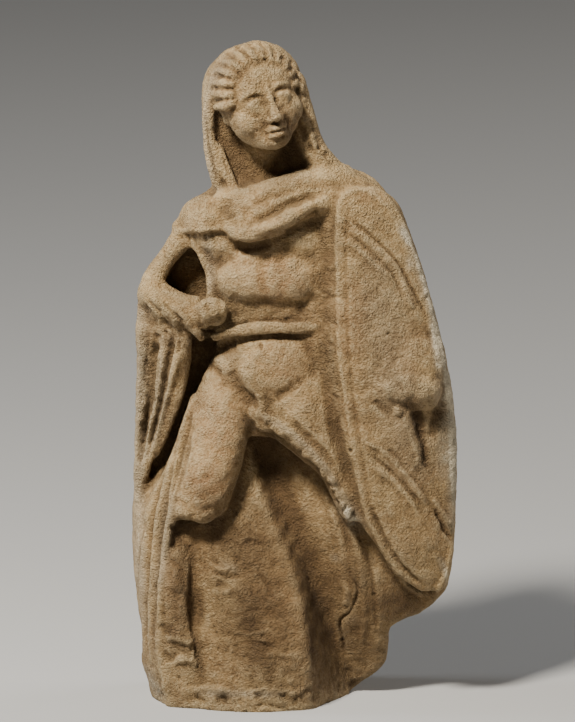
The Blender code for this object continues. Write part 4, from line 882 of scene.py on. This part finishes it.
carved += [
    (-0.4, 0.5, (-12.6, 115), (-12.2, 110), (-11.2, 105.6), (-10.4, 102.4)),
    (-0.35, 0.5, (-9.4, 107.6), (-8.2, 103.4)),
    (-0.4, 0.9, (5.4, 116), (6.8, 112), (8.6, 108)),
    (-0.4, 0.8, (8, 115), (9.6, 110), (11.8, 106.4)),
    (-0.5, 0.8, (4.2, 125.4), (4.8, 123.6)),
    (-0.4, 0.6, (2, 127), (3.4, 126.6)),
]
# Worn curls down the left side of the neck.
strewn((4.8, 121, -4.6), (6, 116, -4.8), (7.6, 110.6, -5), (10.6, 106, -5.2),
       seed=11, count=26, stray=1.5, flat=0.2, shape=(1, 1, 1.3))
broken += [
    (0.9, 3.4, (6, 121), (8, 113), (12, 107)), (0.5, 2, (-12, 118), (-11.6, 108), (-10, 102)),
    (0.2, 2.6, (-11, 113), (-10.6, 119), (-8, 124.6), (-3, 127.6), (2, 126), (5, 121.6)),
]
# Soil with painted shade in the hollows either side of the neck, under the chin.
soil_and_shade_marks += [(0.75, 4.5, (-8, 112), (-6, 106), (0, 103)), (0.75, 3.4, (4.4, 113), (4.6, 107), (3, 104))]
pale += [(0.4, 1.8, (-9, 127), (-13, 118), (-12, 106), (-10.4, 101))]

# Skin
# The main masses are run together into one skin and rubbed smooth, then the small forms are laid on, and
# the drawn marks are pressed into it or raised from it.
TO_VIEWER = Vector((0, -math.cos(VIEW_TILT), math.sin(VIEW_TILT)))
MASS_CELL = 0.0004
MASS_PASSES = 18
SKIN_CELL = 0.00034
SOFT_PASSES = 5
TRIANGLES = 196000


def one_skin(obj, cell, passes):
    """Runs everything in the object together into one skin, and eases it."""
    skin = obj.modifiers.new("one skin", "REMESH")
    skin.mode = "VOXEL"
    skin.voxel_size = cell
    soft = obj.modifiers.new("soft creases", "SMOOTH")
    soft.factor = 0.5
    soft.iterations = passes
    evaluated(obj)


figurine = placed("warrior_figurine_skin", bpy.data.meshes.new("warrior_figurine_skin"))
for forms, cell, passes in ((clay, MASS_CELL, MASS_PASSES), (details, SKIN_CELL, SOFT_PASSES)):
    bmesh.ops.scale(forms, verts=forms.verts, vec=(PART, PART, PART))
    forms.from_mesh(figurine.data)
    forms.to_mesh(figurine.data)
    forms.free()
    one_skin(figurine, cell, passes)


def read(data, field, width=3, kind=float):
    """A field of all the mesh's points, edges or faces as rows."""
    flat = np.empty(len(data) * width, kind)
    data.foreach_get(field, flat)
    return flat.reshape(-1, width)


def shared_out(values, edges, passes):
    """Eases values from point to neighbouring point."""
    count = np.bincount(edges.ravel(), minlength=len(values))[:, None] + 1
    for _ in range(passes):
        total = values.copy()
        for column in range(values.shape[1]):
            total[:, column] += np.bincount(edges[:, 0], values[edges[:, 1], column], len(values))
            total[:, column] += np.bincount(edges[:, 1], values[edges[:, 0], column], len(values))
        values = total / count
    return values


def drawn_weight(drawn, half_width, points, end=0.3):
    """How strongly each drawn place lies on a line: 1 on it, 0 past its half width, end at its two ends."""
    path = eased(points, 5)
    inside = (drawn > path.min(0) - half_width) & (drawn < path.max(0) + half_width)
    near = np.flatnonzero(np.all(inside, axis=1))
    start, step = path[:-1], np.diff(path, axis=0)
    length = np.linalg.norm(step, axis=1)
    offset = drawn[near][:, None] - start
    along = np.clip((offset * step).sum(2) / length**2, 0, 1)
    gaps = np.linalg.norm(offset - along[..., None] * step, axis=2)
    nearest = gaps.argmin(1)
    rows = np.arange(len(near))
    travelled = np.concatenate([[0], np.cumsum(length)])
    part_way = (travelled[nearest] + along[rows, nearest] * length[nearest]) / travelled[-1]
    weight = np.zeros(len(drawn))
    weight[near] = np.clip(1 - (gaps[rows, nearest] / half_width) ** 2, 0, 1) ** 2
    weight[near] *= np.clip(np.minimum(part_way, 1 - part_way) * 8, end, 1)
    return weight


def marks(drawn, lines, end=0.3):
    """The sum of all the lines at every drawn place."""
    total = np.zeros(len(drawn))
    for strength, half_width, *points in lines:
        total += strength * drawn_weight(drawn, half_width, points, end)
    return total


def towards(direction, normals, steep):
    """How far each normal looks in the direction: 1 for most of them, easing to 0 for those turned away."""
    return np.clip(normals @ np.array(direction) * steep, 0, 1)


def solid_for_rays(mesh, places):
    """The mesh with its points at those places, for rays to hit."""
    return BVHTree.FromPolygons([Vector(p) for p in places], [tuple(f.vertices) for f in mesh.polygons])


def add_layer(mesh, name, *columns):
    """Stores a value from 0 to 1 for every point, or three of them as a colour."""
    values = np.clip(np.column_stack(columns), 0, 1).astype(np.float32)
    if len(columns) == 1:
        mesh.attributes.new(name, "FLOAT", "POINT").data.foreach_set("value", values.ravel())
        return
    values = np.column_stack([values, np.ones(len(values), np.float32)])
    mesh.attributes.new(name, "FLOAT_COLOR", "POINT").data.foreach_set("color", values.ravel())


mesh = figurine.data
edges = read(mesh.edges, "vertices", 2, np.int32)
places = read(mesh.vertices, "co") / PART
normals = shared_out(read(mesh.vertices, "normal"), edges, 8)
normals /= np.linalg.norm(normals, axis=1)[:, None]
facing = towards(TO_VIEWER, normals, steep=2.5)
solid = solid_for_rays(mesh, places)
for i in np.flatnonzero(facing):
    start = Vector(places[i]) + Vector(normals[i]) * 0.5 + TO_VIEWER * 0.2
    if solid.ray_cast(start, TO_VIEWER)[0] is not None:
        facing[i] = 0
facing = shared_out(facing[:, None], edges, 4)[:, 0]
drawn = as_drawn(places)
relief = marks(drawn, carved) * facing

on_head = np.column_stack([places, np.ones(len(places))]) @ np.array(head_place.inverted()).T
to_face = towards(head_turn.to_3x3() @ Vector((0, -1, 0)), normals, steep=2)
to_face *= (on_head[:, 1] < -3) & (np.abs(on_head[:, 0]) < 7) & (np.abs(on_head[:, 2]) < 12)
relief += marks(on_head[:, [0, 2]], face_lines) * shared_out(to_face[:, None], edges, 4)[:, 0]
places += normals * relief[:, None]
mesh.vertices.foreach_set("co", (places * PART).ravel())

add_layer(mesh, "broken", marks(drawn, broken, end=0.6) * facing)
add_layer(mesh, "pitted", marks(drawn, pitted, end=0.6) * facing)

# Worn surface
# Sand in the clay, burial and handling leave a low uneven surface all over, crumbly breaks, and small
# pits where grains have dropped out.
tree, given = new_tree("worn clay", Swell_Depth="Float", Swell_Size="Float", Wear_Depth="Float",
                       Wear_Size="Float", Break_Depth="Float", Break_Size="Float", Pit_Depth="Float",
                       Pit_Size="Float", Material="Material")
place = node(tree, "GeometryNodeInputPosition").outputs[0]
outward = node(tree, "GeometryNodeInputNormal").outputs[0]


def unevenness(size, detail):
    """Noise from about -1 to 1, of that size."""
    scale = sums(tree, "DIVIDE", 1, size)
    noise = node(tree, "ShaderNodeTexNoise",
                 {"Vector": place, "Scale": scale, "Detail": detail, "Roughness": 0.6})
    return sums(tree, "MULTIPLY_ADD", noise.outputs[0], 4, -2)


def layer_of(name):
    """A layer of values stored on the mesh."""
    return node(tree, "GeometryNodeInputNamedAttribute", {"Name": name}, data_type="FLOAT").outputs[0]


swell = product(tree, unevenness(given["Swell Size"], 1), given["Swell Depth"])
wear = sums(tree, "MULTIPLY_ADD", unevenness(given["Wear Size"], 3), given["Wear Depth"], swell)
crumble = product(tree, unevenness(given["Break Size"], 4), given["Break Depth"])
height = sums(tree, "MULTIPLY_ADD", crumble, layer_of("broken"), wear)
scale = sums(tree, "DIVIDE", 1, given["Pit Size"])
cells = node(tree, "ShaderNodeTexVoronoi", {"Vector": place, "Scale": scale})
luck = node(tree, "ShaderNodeSeparateXYZ", {0: cells.outputs["Color"]}).outputs
here = sums(tree, "LESS_THAN", luck[0], sums(tree, "MULTIPLY_ADD", layer_of("pitted"), 0.4, 0.03))
wide = sums(tree, "MULTIPLY_ADD", luck[1], 0.14, 0.08)
outwards = sums(tree, "DIVIDE", cells.outputs["Distance"], wide)
bowl = sums(tree, "MAXIMUM", sums(tree, "SUBTRACT", 1, outwards), 0)
pit = product(tree, sums(tree, "SQRT", bowl), here, given["Pit Depth"])
offset = node(tree, "ShaderNodeVectorMath", {0: outward, "Scale": sums(tree, "SUBTRACT", height, pit)},
              operation="SCALE")
moved = node(tree, "GeometryNodeSetPosition", {"Geometry": given["Geometry"], "Offset": offset.outputs[0]})
ended(tree, moved.outputs[0], given["Material"])
put_through(figurine, tree, Swell_Depth=0.00015, Swell_Size=0.005, Wear_Depth=0.00011, Wear_Size=0.0018,
            Break_Depth=0.00036, Break_Size=0.0024, Pit_Depth=0.00036, Pit_Size=0.0026, Material=terracotta)

# The foot is cut level with the floor and the figurine centred over it.
NEAR_FLOOR = 0.0001
shape = bmesh.new()
shape.from_mesh(figurine.data)
everything = shape.verts[:] + shape.edges[:] + shape.faces[:]
cut = bmesh.ops.bisect_plane(shape, geom=everything, plane_co=(0, 0, 0), plane_no=(0, 0, 1), clear_inner=True)
rim = [edge for edge in cut["geom_cut"] if isinstance(edge, bmesh.types.BMEdge)]
bmesh.ops.contextual_create(shape, geom=rim)
bmesh.ops.triangulate(shape, faces=shape.faces)
middle = [(max(v.co[i] for v in shape.verts) + min(v.co[i] for v in shape.verts)) / 2 for i in (0, 1)]
bmesh.ops.translate(shape, verts=shape.verts, vec=(-middle[0], -middle[1], 0))
shape.to_mesh(figurine.data)
shape.free()
thin = figurine.modifiers.new("fewer facets", "DECIMATE")
thin.ratio = min(1, TRIANGLES / len(figurine.data.polygons))
thin.use_collapse_triangulate = True
evaluated(figurine)
mesh = figurine.data
places = read(mesh.vertices, "co")
places[places[:, 2] < NEAR_FLOOR, 2] = 0
places = np.clip(places, np.array(cad_low), np.array(cad_high))
mesh.vertices.foreach_set("co", places.ravel())
mesh.update()
mesh.shade_smooth()

# Layers for the places where dirt lodges and shade is painted, in hollows and sheltered places, edges wear,
# deposits cling and the clay was fired redder.
SHELTER_REACH = 0.012
SHELTER_RAYS = 18
FINE_HOLLOW = 0.00006
WIDE_HOLLOW = 0.0004
WORN_EDGE = 0.00025
edges = read(mesh.edges, "vertices", 2, np.int32)
normals = read(mesh.vertices, "normal")
drawn = as_drawn((places + np.array([*middle, 0])) / PART)


def sunk(near, far):
    """How far each point lies below the skin around it, in metres, between two reaches."""
    return ((shared_out(places, edges, far) - shared_out(places, edges, near)) * normals).sum(1)


# How much of the open space over each point the figurine itself closes off, which darkens the colour there
# as dirt and painted shade.
turns = np.arange(SHELTER_RAYS) * math.radians(137.5)
rise = np.sqrt(1 - (np.arange(SHELTER_RAYS) + 0.5) / SHELTER_RAYS)
spread = np.sqrt(1 - rise**2)
fan = np.column_stack([spread * np.cos(turns), spread * np.sin(turns), rise])
solid = solid_for_rays(mesh, places)
side = np.cross(normals, (0.31, 0.17, 0.93))
side /= np.linalg.norm(side, axis=1)[:, None]
other = np.cross(normals, side)
shelter_dirt_and_shade = np.zeros(len(places))
eased_normals = shared_out(normals, edges, 3)
for i, place in enumerate(places):
    start = Vector(place + eased_normals[i] * 0.0004)
    for way in fan @ np.array([side[i], other[i], normals[i]]):
        hit = solid.ray_cast(start, Vector(way), SHELTER_REACH)
        if hit[0] is not None:
            shelter_dirt_and_shade[i] += (1 - hit[3] / SHELTER_REACH) / SHELTER_RAYS
shelter_dirt_and_shade = shared_out(shelter_dirt_and_shade[:, None], edges, 3)[:, 0]

# Hollows in the skin darken the colour as dirt and painted shade; raised places show wear.
fine = sunk(0, 4) / FINE_HOLLOW * 0.4
hollow_dirt_and_shade = fine + sunk(2, 30) / WIDE_HOLLOW * 0.6
raised = -(fine + sunk(2, 14) / WORN_EDGE * 0.6)
in_front = towards(TO_VIEWER, normals, steep=2.5)
paler, redder, rougher, soil_and_shade_amount = (marks(drawn, lines, end=0.6) * in_front
                                  for lines in (pale, ruddy, broken, soil_and_shade_marks))
add_layer(mesh, "wear", hollow_dirt_and_shade, raised, paler)
add_layer(mesh, "firing_breaks_and_shade", redder, rougher, shelter_dirt_and_shade)
add_layer(mesh, "soil_and_painted_shade", soil_and_shade_amount)

# Fired clay
# Buff-brown terracotta, redder where it was hotter, sandy all through, with dirt and painted shade in its
# hollows and sheltered places, soil and painted shade where the marks lay them, paler worn edges and cream
# lime deposits.
terracotta.use_nodes = True
tree = terracotta.node_tree
shader = tree.nodes["Principled BSDF"]
where = node(tree, "ShaderNodeTexCoord").outputs["Object"]


def noise_of(size, detail=2, roughness=0.55):
    """Noise of that size in metres, from 0 to 1."""
    made = node(tree, "ShaderNodeTexNoise",
                {"Vector": where, "Scale": 1 / size, "Detail": detail, "Roughness": roughness})
    return made.outputs[0]


def between(value, low, high, to_low=0, to_high=1):
    """The value stretched so that low and high come out as given, and no further."""
    made = node(tree, "ShaderNodeMapRange",
                {"Value": value, "From Min": low, "From Max": high, "To Min": to_low, "To Max": to_high})
    return made.outputs[0]


def blend(amount, under, over):
    """One colour laid over another."""
    return node(tree, "ShaderNodeMix", {0: amount, 6: under, 7: over}, data_type="RGBA").outputs[2]


def layer_colours(name):
    """The three values of a layer that is stored as a colour."""
    layer = node(tree, "ShaderNodeAttribute", attribute_name=name).outputs["Color"]
    return node(tree, "ShaderNodeSeparateColor", {0: layer}).outputs


hollow_dirt_and_shade, raised, paler = layer_colours("wear")
redder, rougher, sheltered_dirt_and_shade = layer_colours("firing_breaks_and_shade")
soil_and_shade_amount = node(tree, "ShaderNodeAttribute", attribute_name="soil_and_painted_shade").outputs["Fac"]
BUFF = (0.31, 0.205, 0.092, 1)
BROWN = (0.215, 0.13, 0.055, 1)
RED = (0.31, 0.17, 0.075, 1)
# Dark colour for dirt in the pores, and for the painted shade in hollows and sheltered places.
DIRT_AND_SHADE = (0.07, 0.038, 0.014, 1)
# Dark earthy colour for soil and for the painted shade that the drawn marks lay on.
SOIL_AND_SHADE = (0.11, 0.063, 0.025, 1)
CREAM = (0.56, 0.48, 0.34, 1)
DUST = (0.44, 0.335, 0.19, 1)
GREY = (0.39, 0.325, 0.225, 1)

lime = between(sums(tree, "ADD", paler, noise_of(0.0011, 3)), 1.05, 1.3)
pores = between(noise_of(0.0005), 0.4, 0.3, 0, 0.4)
colour = blend(between(noise_of(0.011, 3), 0.38, 0.62), BUFF, BROWN)
for amount, over in (
    (product(tree, redder, between(noise_of(0.006), 0.3, 0.6, 0.35, 0.9)), RED),
    (between(noise_of(0.0014, 4), 0.5, 0.7, 0, 0.4), BROWN),
    (between(noise_of(0.0005), 0.5, 0.66, 0, 0.35), DUST),
    (product(tree, raised, between(noise_of(0.0015), 0.35, 0.6, 0.15, 0.55)), DUST),
    (product(tree, rougher, 0.12), DUST),
    (product(tree, paler, 0.9), GREY),
    (product(tree, lime, 0.8), CREAM),
    # Soil and painted shade laid on by the drawn marks.
    (product(tree, soil_and_shade_amount, between(noise_of(0.004, 3), 0.3, 0.65, 0.55, 0.95)), SOIL_AND_SHADE),
    # Dirt and painted shade in the hollows.
    (product(tree, hollow_dirt_and_shade, 0.6), DIRT_AND_SHADE),
    # Dirt and painted shade where the figurine closes off the space over the surface.
    (between(sheltered_dirt_and_shade, 0.15, 0.7, 0, 0.5), DIRT_AND_SHADE),
    (pores, DIRT_AND_SHADE),
):
    colour = blend(amount, colour, over)
tree.links.new(colour, shader.inputs["Base Color"])
tree.links.new(between(noise_of(0.0007), 0.3, 0.7, 0.78, 0.96), shader.inputs["Roughness"])
shader.inputs["Metallic"].default_value = 0
shader.inputs["Specular IOR Level"].default_value = 0.3

# Sand of two sizes with its pores, coarser on the breaks and more worn down in some places.
sand = sums(tree, "ADD", noise_of(0.00042, 2, 0.7), product(tree, noise_of(0.0012), 0.35))
grain = product(
    tree,
    sums(tree, "MULTIPLY_ADD", pores, -0.3, sand),
    sums(tree, "MULTIPLY_ADD", rougher, 0.6, 0.85),
    between(noise_of(0.006, 3), 0.36, 0.62, 0.45, 1.15),
)
bump = node(tree, "ShaderNodeBump", {"Height": grain, "Strength": 1, "Distance": 0.0013})
tree.links.new(bump.outputs[0], shader.inputs["Normal"])

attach(figurine, "root")
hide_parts("warrior_figurine")

# Floor, light and camera
# A plain pale tabletop, a key lamp high in front on the left, a low one on the far left that rims the
# cloak and a third behind on the right. The camera looks down a little through a long lens.
FLOOR_COLOUR = (0.4, 0.395, 0.385, 1)
STUDIO_COLOUR = (0.5, 0.5, 0.52, 1)
STUDIO_LIGHT = 0.08
LAMPS_AIM = Vector((0, 0, 0.07))
FRAME_WIDTH, FRAME_HEIGHT = 575, 722
PIXELS_PER_PART = 5
AXIS_COLUMN, FLOOR_ROW = 294.3, 694
CAMERA_DISTANCE = 2.0

bpy.ops.mesh.primitive_plane_add(size=8)
floor = bpy.context.object
floor.name = "floor"
plaster = bpy.data.materials.new("pale floor")
plaster.use_nodes = True
shader = plaster.node_tree.nodes["Principled BSDF"]
shader.inputs["Base Color"].default_value = FLOOR_COLOUR
shader.inputs["Roughness"].default_value = 0.8
floor.data.materials.append(plaster)

across = (FRAME_WIDTH / 2 - AXIS_COLUMN) / PIXELS_PER_PART * PART
up = (FLOOR_ROW - FRAME_HEIGHT / 2) / PIXELS_PER_PART * PART
aim = Vector((across, 0, up / math.cos(VIEW_TILT)))
lens = bpy.data.cameras.new("camera")
camera = placed("camera", lens)
camera.location = aim + TO_VIEWER * CAMERA_DISTANCE
camera.rotation_euler = (-TO_VIEWER).to_track_quat("-Z", "Y").to_euler()
lens.sensor_fit = "VERTICAL"
lens.sensor_height = 24
lens.lens = lens.sensor_height * CAMERA_DISTANCE / (FRAME_HEIGHT / PIXELS_PER_PART * PART)
lens.clip_end = 20
bpy.context.scene.camera = camera


def lamp(name, azimuth, elevation, distance, size, power, colour):
    """A square soft lamp that looks at the figurine's middle. Azimuth 0 is the viewer's side."""
    light = bpy.data.lights.new(name, "AREA")
    light.size = size
    light.energy = power
    light.color = colour
    obj = placed(name, light)
    a, e = math.radians(azimuth), math.radians(elevation)
    way = Vector((math.sin(a) * math.cos(e), -math.cos(a) * math.cos(e), math.sin(e)))
    obj.location = LAMPS_AIM + way * distance
    obj.rotation_euler = (-way).to_track_quat("-Z", "Y").to_euler()


lamp("key", -36, 52, 0.5, 0.08, 6.5, (1, 0.95, 0.86))
lamp("rim", -97, 12, 0.9, 0.2, 5, (0.85, 0.92, 1))
lamp("back", 112, 26, 1, 0.4, 5, (1, 0.97, 0.93))
world = bpy.data.worlds.new("studio")
bpy.context.scene.world = world
world.use_nodes = True
background = world.node_tree.nodes["Background"]
background.inputs["Color"].default_value = STUDIO_COLOUR
background.inputs["Strength"].default_value = STUDIO_LIGHT
